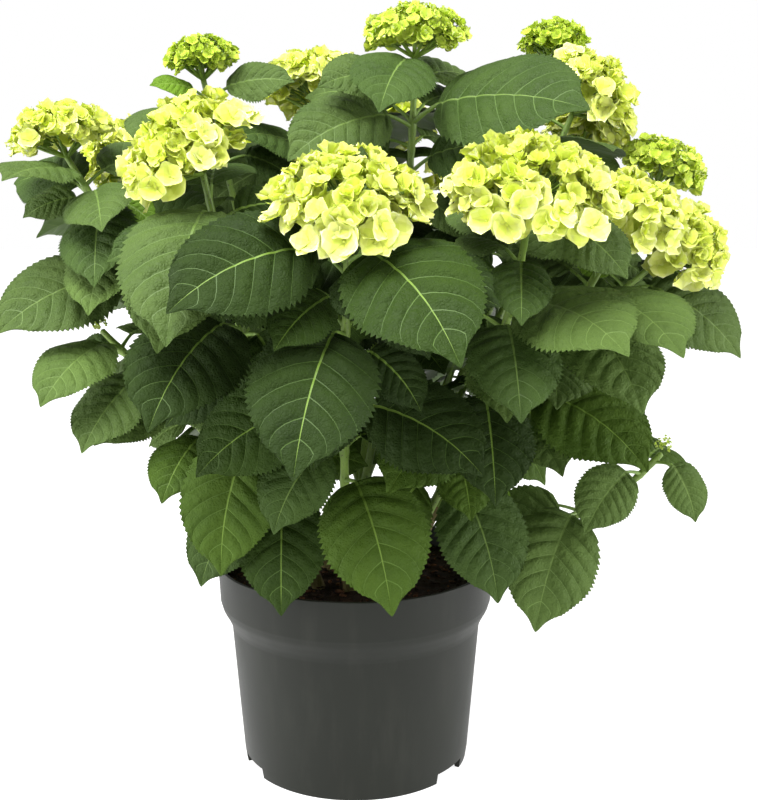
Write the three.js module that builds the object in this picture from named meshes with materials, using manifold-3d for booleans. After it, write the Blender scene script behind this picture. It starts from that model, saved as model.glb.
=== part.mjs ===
// A hydrangea in flower in its nursery pot: pot, compost, canes and masses of leaf and blossom.
// Millimetres, +Z up, the pot's axis on the Z axis and its foot on the ground at Z = 0.
import * as THREE from "three";
import { mergeVertices } from "three/addons/utils/BufferGeometryUtils.js";
import Module from "manifold-3d";

// ---- driving dimensions ----
const POT_HEIGHT = 174;
const RIM_RADIUS = 115.6;
const RIM_INSIDE = 113.2;
const RIM_STRAIGHT = 9;
const WALL_TOP_RADIUS = 105;
const WALL_TOP = 119;
const FOOT_RADIUS = 95;
const WALL = 2;
const CHANNEL_TOP = 9;
const BOSS_RADIUS = 38;
const FLOOR = 2.2;
const POT_SIDES = 38;
// the rim band flares out of the wall: share of the way out to the rim, height above the wall's top
const FLARE = [[0.11, 5], [0.41, 11], [0.73, 16.5], [0.89, 23]];
const FLARE_INSET = 2.4;
const FLARE_LIFT = 1.5;
const SOIL_PLAY = 0.4;
const NOTCHES = [85, 205, 325];
const NOTCH_WIDTH = 36;
const NOTCH_DEPTH = 30;
const DRAIN_COUNT = 8;
const DRAIN_RADIUS = 6;
const DRAIN_CIRCLE = 66;

const SOIL_TOP = 156;
const GAP = 0.3;
const CANE_FOOT_RADIUS = 5.6;
const CANE_TIP_RADIUS = 4.4;
const FOOT_SPREAD = 0.6;
const SHOOT_ROOT_RADIUS = 3.6;
const SHOOT_TIP_RADIUS = 2.4;
const NECK = 16;
const BUD_NECK = 6;
const PETIOLE_RADIUS = 1.5;

const LEAF_WIDTH = 0.73;
const LEAF_HALF_THICKNESS = 1.1;
const LEAF_FOLD = 12;
const LEAF_TURN = 52;
const NODE_SPACING = 36;

const CELL = 7;
const SAMPLE = 5.5;
const POT_CLEARANCE = 4;
const SKIRT_RADIUS = 150;
const SKIRT_HEIGHT = 226;
const SKIRT_FLARE = 1.3;

// ---- the plant ----
// Each mass grows from the tip of one cane. A shoot runs from there to its flower head:
// at, width, depth and lean [azimuth, tilt] place the head, bloom is how far it has opened,
// bow bends the shoot, face is the side its leaves turn to. Its pairs of leaves stand at a
// share of its length, each leaf given as [azimuth, hang, length, bend, roll].
const MASSES = [
  {
    name: "front", tip: [-8, -52, 216], shoots: [
      { at: [-4, -190, 491], width: 112, depth: 36, lean: [268, 28], bow: [-2, -6, 0], face: 270, pairs: [
        [0.97, [258, -24, 60]],
        [0.90, [310, -18, 126], [228, -20, 118]],
        [0.76, [311, -2, 106], [150, -5, 100]],
        [0.68, [252, -46, 124]],
        [0.42, [330, -25, 105], [190, -30, 105]],
        [0.18, [290, -47, 115], [250, -52, 108]],
      ] },
    ],
  },
  {
    name: "front_left", tip: [-52, -38, 216], shoots: [
      { at: [-128, -110, 524], width: 108, depth: 38, lean: [215, 38], bow: [0, -12, 0], face: 266, pairs: [
        [0.98, [43, 33, 86]],
        [0.92, [240, -16, 115], [92, 5, 90]],
        [0.88, [282, -42, 130]],
        [0.58, [243, -33, 120], [30, -15, 100]],
        [0.28, [236, -70, 108], [310, -30, 95]],
        [0.10, [264, -50, 98], [205, -58, 90]],
      ] },
    ],
  },
  {
    name: "left", tip: [-60, -4, 216], shoots: [
      { at: [-236, 0, 538], width: 84, depth: 30, lean: [190, 12], bloom: 0.7, face: 258, pairs: [
        [0.92, [243, -4, 80], [60, 8, 75]],
        [0.88, [284, -20, 84], [120, 0, 85]],
        [0.76, [262, -40, 84], [30, 5, 80]],
        [0.64, [225, -21, 112], [90, -10, 100]],
        [0.40, [140, -25, 100]],
      ] },
      { at: [-208, -14, 380], width: 14, depth: 10, lean: [190, 20], bloom: 0, face: 255, pairs: [
        [0.90, [240, -28, 86], [70, -5, 70]],
        [0.72, [236, -38, 82], [130, -25, 95]],
        [0.42, [110, -35, 90]],
      ] },
    ],
  },
  {
    name: "front_right", tip: [56, -36, 216], shoots: [
      { at: [119, -170, 498], width: 120, depth: 38, lean: [265, 26], bow: [14, 14, 0], face: 272, pairs: [
        [0.98, [312, -37, 68]],
        [0.92, [267, -32, 112], [120, 8, 80]],
        [0.82, [225, -12, 84], [20, 0, 85]],
        [0.66, [293, -38, 96], [170, -5, 100]],
        [0.38, [233, -16, 115], [334, -12, 124]],
        [0.14, [300, -58, 100], [200, -48, 95]],
      ] },
    ],
  },
  {
    name: "right", tip: [66, -8, 216], shoots: [
      { at: [206, -98, 478], width: 86, depth: 36, lean: [300, 30], bow: [8, 8, 0], face: 280, pairs: [
        [0.90, [160, 15, 70]],
        [0.76, [302, -17, 116], [130, 0, 90]],
        [0.42, [318, -26, 114], [70, -10, 100]],
      ] },
      { at: [258, -58, 450], width: 84, depth: 38, lean: [315, 50], bow: [0, 6, 14], face: 285, pairs: [
        [0.96, [322, -4, 56], [80, 10, 60]],
        [0.84, [343, -30, 94], [150, 5, 80]],
        [0.56, [30, 0, 85], [240, -15, 90]],
      ] },
      { at: [250, -42, 284], width: 15, depth: 12, lean: [20, 20], bloom: 0, bow: [10, 4, -34], face: 272,
        pairs: [
        [0.96, [316, -48, 50], [100, 10, 34]],
        [0.90, [222, -38, 68], [60, -10, 80]],
        [0.62, [238, -50, 106], [200, -30, 80]],
      ] },
    ],
  },
  {
    name: "back_right", tip: [48, 44, 216], shoots: [
      { at: [208, 60, 570], width: 90, depth: 38, lean: [345, 42], face: 300, pairs: [
        [0.96, [324, -36, 66], [150, 0, 80]],
        [0.66, [0, -10, 105], [250, 0, 90]],
        [0.45, [30, -25, 115], [290, -10, 100]],
        [0.22, [10, -40, 105], [120, -30, 105]],
      ] },
      { at: [174, 110, 617], width: 62, depth: 26, lean: [90, 6], bloom: 0.25, face: 270, pairs: [
        [0.95, [188, 10, 28], [25, 10, 28]],
        [0.72, [90, -5, 100], [250, 0, 70]],
      ] },
      { at: [268, 62, 512], width: 80, depth: 30, lean: [0, 22], bloom: 0.4, bow: [0, 0, 10], face: 290,
        pairs: [
        [0.86, [200, 0, 60], [50, -10, 85]],
        [0.62, [340, -30, 105], [100, -20, 105]],
        [0.35, [20, -45, 110], [80, -45, 110]],
      ] },
      { at: [210, 125, 540], width: 74, depth: 32, lean: [40, 20], face: 30, pairs: [
        [0.80, [60, -15, 100], [150, 0, 90]],
        [0.50, [80, -30, 115], [20, -30, 100]],
      ] },
    ],
  },
  {
    name: "top", tip: [4, 8, 222], shoots: [
      { at: [48, 0, 616], width: 86, depth: 30, lean: [0, 0], bloom: 0.35, bow: [10, -4, 0], face: 270,
        pairs: [
        [0.97, [246, -28, 94], [310, -8, 76]],
        [0.93, [205, 6, 76], [30, 5, 80]],
        [0.86, [321, -3, 138, 30, 46], [150, 5, 95]],
        [0.66, [240, 0, 105], [60, 0, 110]],
        [0.46, [285, -10, 100], [100, -10, 110]],
      ] },
      { at: [34, 175, 548], width: 78, depth: 34, lean: [100, 20], face: 270, pairs: [
        [0.82, [190, -5, 90], [10, -5, 100]],
        [0.60, [120, -20, 110], [60, -20, 110]],
      ] },
    ],
  },
  {
    name: "back_left", tip: [-40, 44, 216], shoots: [
      { at: [-36, 130, 582], width: 94, depth: 40, lean: [110, 16], face: 265, pairs: [
        [0.86, [215, 5, 90], [20, 5, 95]],
        [0.66, [120, -10, 110], [300, 0, 90]],
        [0.45, [150, -25, 115], [60, -25, 110]],
      ] },
      { at: [-128, 60, 600], width: 62, depth: 26, lean: [180, 4], bloom: 0.2, face: 260, pairs: [
        [0.95, [352, 18, 66], [190, 10, 40]],
        [0.88, [230, -8, 102], [10, 6, 88]],
        [0.66, [170, -15, 115], [300, 0, 90]],
        [0.40, [200, -30, 110], [110, -30, 110]],
      ] },
      { at: [-205, 120, 520], width: 92, depth: 38, lean: [150, 30], face: 150, pairs: [
        [0.86, [190, -15, 95], [80, -5, 100]],
        [0.64, [160, -25, 115], [230, -20, 95]],
        [0.40, [140, -40, 115], [200, -40, 105]],
      ] },
    ],
  },
  {
    name: "back", tip: [6, 62, 216], shoots: [
      { at: [122, 212, 498], width: 104, depth: 42, lean: [62, 30], face: 65, pairs: [
        [0.88, [90, -25, 110], [330, 0, 90]],
        [0.68, [50, -30, 120], [140, -20, 110]],
        [0.45, [90, -45, 130], [20, -40, 115]],
        [0.20, [75, -50, 120], [130, -50, 115]],
      ] },
      { at: [-92, 195, 500], width: 102, depth: 40, lean: [115, 34], face: 110, pairs: [
        [0.88, [100, -28, 108], [170, -15, 100]],
        [0.68, [140, -30, 120], [60, -25, 110]],
        [0.45, [105, -48, 125], [165, -45, 115]],
        [0.20, [120, -50, 115], [200, -50, 105]],
      ] },
    ],
  },
];

// ---- vectors and chance ----
const radians = (degrees) => degrees * Math.PI / 180;
const add = (a, b) => [a[0] + b[0], a[1] + b[1], a[2] + b[2]];
const sub = (a, b) => [a[0] - b[0], a[1] - b[1], a[2] - b[2]];
const mul = (a, k) => [a[0] * k, a[1] * k, a[2] * k];
const mix = (a, b, t) => add(mul(a, 1 - t), mul(b, t));
const dot = (a, b) => a[0] * b[0] + a[1] * b[1] + a[2] * b[2];
const unit = (a) => mul(a, 1 / Math.sqrt(dot(a, a)));
const cross = (a, b) => [
  a[1] * b[2] - a[2] * b[1],
  a[2] * b[0] - a[0] * b[2],
  a[0] * b[1] - a[1] * b[0],
];

function heading(azimuth, elevation) {
  const a = radians(azimuth);
  const e = radians(elevation);
  return [Math.cos(a) * Math.cos(e), Math.sin(a) * Math.cos(e), Math.sin(e)];
}

// the same three numbers always give the same share between 0 and 1
function chance(a, b, c) {
  let h = Math.imul(a + 1, 0x9e3779b1) ^ Math.imul(b + 1, 0x85ebca6b) ^ Math.imul(c + 1, 0xc2b2ae35);
  h = Math.imul(h ^ (h >>> 15), 0x2c1b3c6d);
  h = Math.imul(h ^ (h >>> 12), 0x297a2d39);
  h ^= h >>> 15;
  return (h >>> 0) / 4294967296;
}

const spread = (a, b, c, low, high) => low + (high - low) * chance(a, b, c);

// ---- canes and shoots ----
const footOf = (mass) => [mass.tip[0] * FOOT_SPREAD, mass.tip[1] * FOOT_SPREAD, SOIL_TOP];
const isBud = (shoot) => shoot.width < 20;
const neckOf = (shoot) => (isBud(shoot) ? BUD_NECK : NECK);

function shootPath(tip, shoot) {
  const lean = heading(shoot.lean[0], 90 - shoot.lean[1]);
  const end = sub(shoot.at, mul(lean, shoot.depth * 0.5 + neckOf(shoot)));
  const middle = mix(tip, end, 0.5);
  return [tip, add(middle, mul(shoot.bow ?? [0, 0, 0], 2)), end];
}

function along(path, t) {
  return mix(mix(path[0], path[1], t), mix(path[1], path[2], t), t);
}

function lengthOf(path) {
  let total = 0;
  for (let i = 0; i < 20; i += 1) {
    const step = sub(along(path, (i + 1) / 20), along(path, i / 20));
    total += Math.sqrt(dot(step, step));
  }
  return total;
}

// ---- leaves ----
const BREADTH_PEAK = 0.38 ** 0.55 * 0.62 ** 0.9;
const breadth = (u) => u ** 0.55 * (1 - u) ** 0.9 / BREADTH_PEAK;

function leafAt(node, azimuth, hang, length, bend, roll) {
  const rise = hang + bend / 2;
  const base = add(node, mul(heading(azimuth, rise * 0.5 + 25), 12 + length * 0.11));
  return { node, base, azimuth, rise, bend, length, width: length * LEAF_WIDTH, roll };
}

// the midrib is an arc, rising at the base and hanging at the tip
function leafFrame(leaf, u) {
  const bend = radians(leaf.bend);
  const rise = radians(leaf.rise);
  const slope = rise - bend * u;
  const forward = leaf.length * (Math.sin(rise) - Math.sin(slope)) / bend;
  const up = leaf.length * (Math.cos(slope) - Math.cos(rise)) / bend;
  const a = radians(leaf.azimuth);
  const point = add(leaf.base, [forward * Math.cos(a), forward * Math.sin(a), up]);
  const ahead = [Math.cos(a) * Math.cos(slope), Math.sin(a) * Math.cos(slope), Math.sin(slope)];
  const level = [-Math.sin(a), Math.cos(a), 0];
  const roll = radians(leaf.roll);
  const side = add(mul(level, Math.cos(roll)), mul(cross(ahead, level), Math.sin(roll)));
  return { point, side, normal: cross(ahead, side) };
}

function leafPoint(leaf, u, v) {
  const { point, side, normal } = leafFrame(leaf, u);
  const half = leaf.width / 2 * breadth(u) * v;
  const lift = Math.abs(half) * Math.tan(radians(LEAF_FOLD)) - 0.7 * half * half / leaf.width;
  return add(point, add(mul(side, half), mul(normal, lift)));
}

function leafSamples(leaf) {
  const rows = Math.max(6, Math.floor(leaf.length / SAMPLE + 0.5));
  const samples = [];
  for (let i = 0; i <= rows; i += 1) {
    const u = Math.min(Math.max(i / rows, 0.03), 0.985);
    const columns = Math.max(1, Math.ceil(leaf.width / 2 * breadth(u) / SAMPLE));
    for (let j = -columns; j <= columns; j += 1) {
      samples.push({ point: leafPoint(leaf, u, j / columns), root: u * leaf.length < 16 });
    }
  }
  return samples;
}

// ---- room in the crown ----
// The crown is a grid of cells. What is placed keeps other masses out of all cells around
// its own, and the leaves of its own mass out of the cells beside them.
const reach = new Map();
const blades = new Map();
const stalks = new Map();

const cellOf = (point) => point.map((value) => Math.floor(value / CELL) + 512);
const keyOf = (i, j, k) => (i * 1024 + j) * 1024 + k;

function claim(points, mass, own) {
  const bit = 1 << mass;
  const done = new Set();
  for (const point of points) {
    const [i, j, k] = cellOf(point);
    if (done.has(keyOf(i, j, k))) continue;
    done.add(keyOf(i, j, k));
    for (let n = 0; n < 27; n += 1) {
      const [a, b, c] = [n % 3 - 1, Math.floor(n / 3) % 3 - 1, Math.floor(n / 9) - 1];
      const key = keyOf(i + a, j + b, k + c);
      reach.set(key, (reach.get(key) ?? 0) | bit);
      if (Math.abs(a) + Math.abs(b) + Math.abs(c) <= 1) own.set(key, (own.get(key) ?? 0) | bit);
    }
  }
}

function isFree(samples, mass, rank) {
  const bit = 1 << mass;
  for (const { point, root } of samples) {
    const radius = Math.hypot(point[0], point[1]);
    if (point[2] < POT_HEIGHT + POT_CLEARANCE && radius < RIM_RADIUS + POT_CLEARANCE) return false;
    const skirt = SKIRT_RADIUS + Math.max(0, point[2] - SKIRT_HEIGHT) * SKIRT_FLARE;
    if (rank === 1 && radius > skirt) return false;
    const key = keyOf(...cellOf(point));
    if ((reach.get(key) ?? 0) & ~bit) return false;
    if ((blades.get(key) ?? 0) & bit) return false;
    if (!root && (stalks.get(key) ?? 0) & bit) return false;
  }
  return true;
}

function headBasis(shoot) {
  const axis = heading(shoot.lean[0], 90 - shoot.lean[1]);
  const side = unit(cross(axis, [0.31, 0.52, 0.8]));
  return { axis, side, other: cross(axis, side), centre: sub(shoot.at, mul(axis, shoot.depth * 0.5)) };
}

function headPoint(shoot, basis, around, latitude, scale = 1) {
  const radius = shoot.width / 2 * Math.cos(latitude) * scale;
  const flat = add(mul(basis.side, Math.cos(around) * radius), mul(basis.other, Math.sin(around) * radius));
  return add(basis.centre, add(flat, mul(basis.axis, shoot.depth * Math.sin(latitude))));
}

function headSamples(shoot) {
  const basis = headBasis(shoot);
  const samples = [];
  for (let i = 0; i < 9; i += 1) {
    for (let j = 0; j < 36; j += 1) {
      const around = j / 36 * 2 * Math.PI;
      samples.push(headPoint(shoot, basis, around, i / 8 * Math.PI / 2));
      if (i < 4) samples.push(headPoint(shoot, basis, around, 0, i / 4));
    }
  }
  return samples;
}

// ---- growing ----
// Leaves given for a shoot are dealt first, then pairs at even spacing fill what room is left.
function leafOrder(shoots) {
  const order = [];
  shoots.forEach((shoot) => {
    const id = shoot.id;
    shoot.pairs.forEach(([share, ...leaves], k) => {
      leaves.forEach((leaf, side) => order.push({ rank: 0, row: k + side / 2, id, shoot, share, leaf }));
    });
    const count = Math.floor(lengthOf(shoot.path) * 0.8 / NODE_SPACING);
    const turn = spread(id, 0, 3, 0, 180);
    for (let k = 0; k < count; k += 1) {
      const share = 0.9 - (k + 0.5) * 0.8 / count;
      const node = along(shoot.path, share);
      for (let side = 0; side < 2; side += 1) {
        const azimuth = turn + 90 * k + 180 * side + spread(id, k * 2 + side, 5, -14, 14);
        const outward = Math.cos(radians(azimuth) - Math.atan2(node[1], node[0]));
        const hang = -18 - 14 * outward + spread(id, k * 2 + side, 6, -8, 8);
        const full = 98 + 22 * Math.sin(Math.PI * (1 - share)) + 10 * outward;
        const leaf = [azimuth, hang, full * spread(id, k * 2 + side, 8, 0.88, 1.08)];
        order.push({ rank: 1, row: k, id: id + side / 2, shoot, share, leaf });
      }
    }
  });
  return order.sort((p, q) => p.rank - q.rank || p.row - q.row || p.id - q.id);
}

// ways to turn, lower and shorten a leaf until it finds room
function* settings(rank) {
  if (rank === 0) {
    for (const size of [1, 0.9]) {
      for (const drop of [0, -7, 7, -14, 14]) {
        for (const turn of [0, 7, -7, 14, -14, 22, -22]) yield [turn, drop, size];
      }
    }
  } else {
    for (const size of [1, 0.82, 0.66]) {
      for (const turn of [0, 15, -15, 30, -30, 45, -45]) {
        for (const drop of [0, -12, 12, -24, 24]) yield [turn, drop, size];
      }
    }
  }
}

function settle({ rank, shoot, share, leaf: [azimuth, hang, length, bend, roll] }) {
  const node = along(shoot.path, share);
  const face = shoot.face;
  for (const [turn, drop, size] of settings(rank)) {
    const swing = roll ?? LEAF_TURN * Math.sin(radians(azimuth + turn - face));
    const arc = bend ?? 26 + length * 0.16;
    const leaf = leafAt(node, azimuth + turn, hang + drop, length * size, arc, swing);
    const stalk = [1, 2, 3, 4, 5].map((n) => ({ point: mix(node, leaf.base, n / 5), root: true }));
    const blade = leafSamples(leaf);
    if (isFree(blade, shoot.mass, rank) && isFree(stalk, shoot.mass, rank)) {
      claim(blade.map((sample) => sample.point), shoot.mass, blades);
      claim(stalk.map((sample) => sample.point), shoot.mass, stalks);
      return leaf;
    }
  }
  return null;
}

function growPlant() {
  const shoots = [];
  MASSES.forEach((mass, index) => {
    const foot = footOf(mass);
    claim(Array.from({ length: 9 }, (_, i) => mix(foot, mass.tip, i / 8)), MASSES.length, stalks);
    for (const shoot of mass.shoots) {
      shoot.id = shoots.length;
      shoot.mass = index;
      shoot.path = shootPath(mass.tip, shoot);
      shoot.leaves = [];
      claim(Array.from({ length: 59 }, (_, i) => along(shoot.path, (i + 2) / 60)), index, stalks);
      claim(headSamples(shoot), index, blades);
      shoots.push(shoot);
    }
  });
  for (const item of leafOrder(shoots)) {
    const leaf = settle(item);
    if (leaf) item.shoot.leaves.push(leaf);
  }
  return shoots;
}

// ---- solids ----
const wasm = await Module();
wasm.setup();

function solidFrom(points, faces) {
  const mesh = new wasm.Mesh({
    numProp: 3,
    vertProperties: new Float32Array(points.flat()),
    triVerts: new Uint32Array(faces.flat()),
  });
  return new wasm.Manifold(mesh);
}

// a tube of flat sides through the points, closed at both ends
function tube(points, radii, sides) {
  const vertices = [];
  const faces = [];
  points.forEach((point, i) => {
    const ahead = unit(sub(points[Math.min(i + 1, points.length - 1)], points[Math.max(i - 1, 0)]));
    const side = unit(cross(ahead, [0.36, 0.8, 0.11]));
    const other = cross(ahead, side);
    for (let j = 0; j < sides; j += 1) {
      const a = j / sides * 2 * Math.PI;
      const ring = add(mul(side, Math.cos(a) * radii[i]), mul(other, Math.sin(a) * radii[i]));
      vertices.push(add(point, ring));
    }
  });
  const last = (points.length - 1) * sides;
  for (let j = 0; j < sides; j += 1) {
    const next = (j + 1) % sides;
    for (let i = 0; i < points.length - 1; i += 1) {
      const [a, b] = [i * sides + j, i * sides + next];
      faces.push([a, b, b + sides], [a, b + sides, a + sides]);
    }
    if (j > 0 && j < sides - 1) faces.push([0, next, j], [last, last + j, last + next]);
  }
  return solidFrom(vertices, faces);
}

// rings of equal count between a bottom and a top point; the faces fold in turn to one side and
// the other, so that a blade's two faces fold along the same lines and never cross
function domed(bottom, rings, top) {
  const count = rings[0].length;
  const vertices = [bottom, ...rings.flat(), top];
  const crown = vertices.length - 1;
  const faces = [];
  for (let j = 0; j < count; j += 1) {
    const next = (j + 1) % count;
    faces.push([0, 1 + next, 1 + j]);
    for (let i = 0; i < rings.length - 1; i += 1) {
      const [a, b] = [1 + i * count + j, 1 + i * count + next];
      const folds = j % 2 ? [[a, b, a + count], [b, b + count, a + count]]
        : [[a, b, b + count], [a, b + count, a + count]];
      faces.push(...folds);
    }
    faces.push([crown - count + j, crown - count + next, crown]);
  }
  return solidFrom(vertices, faces);
}

// a stalk opening into a blade folded along its midrib, thickest there and sharp at the margin
function leafSolid(leaf) {
  const thick = Math.max(LEAF_HALF_THICKNESS, leaf.length / 100);
  const { side, normal } = leafFrame(leaf, 0);
  const rings = [leaf.node, leaf.base].map((point) => [
    add(point, mul(normal, PETIOLE_RADIUS)), sub(point, mul(side, PETIOLE_RADIUS)),
    sub(point, mul(normal, PETIOLE_RADIUS)), add(point, mul(side, PETIOLE_RADIUS)),
  ]);
  for (const u of [0.18, 0.48, 0.8]) {
    const frame = leafFrame(leaf, u);
    rings.push([
      add(frame.point, mul(frame.normal, thick)), leafPoint(leaf, u, -1),
      sub(frame.point, mul(frame.normal, thick)), leafPoint(leaf, u, 1),
    ]);
  }
  return domed(leaf.node, rings, leafPoint(leaf, 1, 0));
}

// a dome of florets, their tips standing out in turn from ring to ring
function headSolid(shoot) {
  const basis = headBasis(shoot);
  const bud = isBud(shoot);
  const relief = bud ? 0 : 0.05 + 0.06 * (shoot.bloom ?? 1);
  const latitudes = bud ? [-0.5, 0.5] : [-0.16, 0.24, 0.64, 1.1];
  const sides = bud ? 6 : 12;
  const rings = latitudes.map((latitude, i) => Array.from({ length: sides }, (_, j) => {
    const around = (j + i * 0.5) / sides * 2 * Math.PI;
    const scale = 1 - relief * ((i + j) % 2) + relief * spread(shoot.id, i, j, -0.3, 0.3);
    return headPoint(shoot, basis, around, latitude, scale);
  }));
  const root = sub(basis.centre, mul(basis.axis, neckOf(shoot) + 4));
  return domed(root, rings, add(basis.centre, mul(basis.axis, shoot.depth * 0.96)));
}

function massSolid(mass, shoots) {
  const up = unit(sub(mass.tip, footOf(mass)));
  const pieces = [tube([GAP, 9].map((k) => add(mass.tip, mul(up, k))), [CANE_TIP_RADIUS, 4], 10)];
  shoots.forEach((shoot) => {
    const start = add(mass.tip, mul(up, 4.5));
    const shares = [0, 0.2, 0.4, 0.6, 0.8, 1];
    const points = shares.map((t) => (t ? along(shoot.path, t) : start));
    const radii = shares.map((t) => SHOOT_ROOT_RADIUS + (SHOOT_TIP_RADIUS - SHOOT_ROOT_RADIUS) * t);
    pieces.push(tube(points, radii, 6));
    pieces.push(headSolid(shoot));
    for (const leaf of shoot.leaves) pieces.push(leafSolid(leaf));
  });
  return wasm.Manifold.union(pieces);
}

// a closed three.js shape as a solid, its shared points merged
function solidOf(geometry) {
  geometry.deleteAttribute("normal");
  geometry.deleteAttribute("uv");
  const merged = mergeVertices(geometry, 1e-4);
  const position = merged.getAttribute("position");
  const index = merged.getIndex().array;
  const points = [];
  for (let i = 0; i < position.count; i += 1) {
    points.push([position.getX(i), position.getY(i), position.getZ(i)]);
  }
  const faces = [];
  for (let i = 0; i < index.length; i += 3) {
    const [a, b, c] = index.slice(i, i + 3);
    if (a !== b && b !== c && c !== a) faces.push([a, b, c]);
  }
  return solidFrom(points, faces);
}

// a closed profile of [radius, height] points turned round the pot's axis
function revolve(profile) {
  const outline = profile.map(([r, z]) => new THREE.Vector2(r, z));
  return solidOf(new THREE.LatheGeometry(outline, POT_SIDES).rotateX(Math.PI / 2));
}

// the flare's points, moved in and up by inset and lift on the wall's inner side
function flare(inset, lift) {
  const step = RIM_RADIUS - WALL_TOP_RADIUS;
  return FLARE.map(([share, rise]) => [WALL_TOP_RADIUS + share * step - inset, WALL_TOP + rise + lift]);
}

function potSolid() {
  const inner = WALL_TOP_RADIUS - WALL;
  let pot = revolve([
    [0, 0], [BOSS_RADIUS, 0], [BOSS_RADIUS + 9, CHANNEL_TOP], [87, CHANNEL_TOP], [91, 0], [FOOT_RADIUS, 0],
    [FOOT_RADIUS + 1.2, CHANNEL_TOP], [WALL_TOP_RADIUS, WALL_TOP], ...flare(0, 0),
    [RIM_RADIUS, POT_HEIGHT - RIM_STRAIGHT], [RIM_RADIUS, POT_HEIGHT], [RIM_INSIDE, POT_HEIGHT],
    ...flare(FLARE_INSET, FLARE_LIFT).reverse(), [inner, WALL_TOP],
    [FOOT_RADIUS - 1, CHANNEL_TOP + FLOOR],
    [BOSS_RADIUS + 7, CHANNEL_TOP + FLOOR], [BOSS_RADIUS - 2, FLOOR], [0, FLOOR],
  ]);
  for (const azimuth of NOTCHES) {
    const notch = new THREE.BoxGeometry(NOTCH_DEPTH, NOTCH_WIDTH, CHANNEL_TOP * 2)
      .translate(FOOT_RADIUS + 4, 0, 0).rotateZ(radians(azimuth));
    pot = pot.subtract(solidOf(notch));
  }
  for (let n = 0; n < DRAIN_COUNT; n += 1) {
    const drain = new THREE.CylinderGeometry(DRAIN_RADIUS, DRAIN_RADIUS, CHANNEL_TOP * 2, 12)
      .rotateX(Math.PI / 2).translate(DRAIN_CIRCLE, 0, CHANNEL_TOP)
      .rotateZ((n + 0.5) * 2 * Math.PI / DRAIN_COUNT);
    pot = pot.subtract(solidOf(drain));
  }
  return pot;
}

function soilSolid() {
  const inner = WALL_TOP_RADIUS - WALL - SOIL_PLAY;
  const bottom = FLOOR + GAP;
  return revolve([
    [0, bottom], [BOSS_RADIUS - 2.2, bottom], [BOSS_RADIUS + 6.8, CHANNEL_TOP + bottom],
    [FOOT_RADIUS - 1.4, CHANNEL_TOP + bottom], [inner, WALL_TOP],
    ...flare(FLARE_INSET + SOIL_PLAY, FLARE_LIFT), [RIM_INSIDE - 1.2, SOIL_TOP], [0, SOIL_TOP],
  ]);
}

function caneSolid(mass) {
  const start = mix(footOf(mass), mass.tip, -0.1);
  return tube([start, mass.tip], [CANE_FOOT_RADIUS, CANE_TIP_RADIUS], 10)
    .trimByPlane([0, 0, 1], SOIL_TOP + GAP);
}

// ---- the group ----
const materials = {
  pot: new THREE.MeshStandardMaterial({ color: 0x4a4b48, roughness: 0.6 }),
  soil: new THREE.MeshStandardMaterial({ color: 0x2e211a, roughness: 1 }),
  cane: new THREE.MeshStandardMaterial({ color: 0x7d7a45, roughness: 0.8 }),
  foliage: new THREE.MeshStandardMaterial({ color: 0x4d7a3a, roughness: 0.6 }),
};

function meshFrom(solid, name, material) {
  const mesh = solid.getMesh();
  const geometry = new THREE.BufferGeometry();
  geometry.setAttribute("position", new THREE.BufferAttribute(mesh.vertProperties, 3));
  geometry.setIndex(new THREE.BufferAttribute(mesh.triVerts, 1));
  geometry.computeVertexNormals();
  const out = new THREE.Mesh(geometry, material);
  out.name = name;
  return out;
}

const part = new THREE.Group();
part.name = "potted_hydrangea";
part.add(meshFrom(potSolid(), "pot", materials.pot));
part.add(meshFrom(soilSolid(), "soil", materials.soil));
const shoots = growPlant();
for (const [index, mass] of MASSES.entries()) {
  part.add(meshFrom(caneSolid(mass), `cane_${mass.name}`, materials.cane));
  const grown = shoots.filter((shoot) => shoot.mass === index);
  part.add(meshFrom(massSolid(mass, grown), `mass_${mass.name}`, materials.foliage));
}

export default part;
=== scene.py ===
import math

import bmesh
import bpy
import numpy as np
from mathutils import Matrix, Vector, noise


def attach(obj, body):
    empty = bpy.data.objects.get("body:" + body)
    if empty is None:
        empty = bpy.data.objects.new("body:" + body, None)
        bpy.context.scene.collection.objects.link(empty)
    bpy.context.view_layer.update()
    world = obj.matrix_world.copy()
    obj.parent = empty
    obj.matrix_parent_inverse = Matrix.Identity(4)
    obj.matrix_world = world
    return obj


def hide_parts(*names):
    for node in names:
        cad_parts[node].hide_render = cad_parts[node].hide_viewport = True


# A potted hydrangea: leaves, stems and flower heads grow by the part's own rule, then finer.
# Growth is worked out in millimetres, and meshes are made in metres.

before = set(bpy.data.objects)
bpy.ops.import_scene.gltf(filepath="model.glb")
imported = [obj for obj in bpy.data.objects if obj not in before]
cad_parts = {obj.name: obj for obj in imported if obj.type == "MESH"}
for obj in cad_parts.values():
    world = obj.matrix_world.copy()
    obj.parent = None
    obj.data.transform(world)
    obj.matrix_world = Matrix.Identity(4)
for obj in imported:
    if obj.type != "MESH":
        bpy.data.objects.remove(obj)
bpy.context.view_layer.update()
MM = 0.001
NODES = sorted(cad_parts)
CANE_NODES = [name for name in NODES if name.startswith("cane_")]
MASS_NODES = [name for name in NODES if name.startswith("mass_")]

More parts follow.
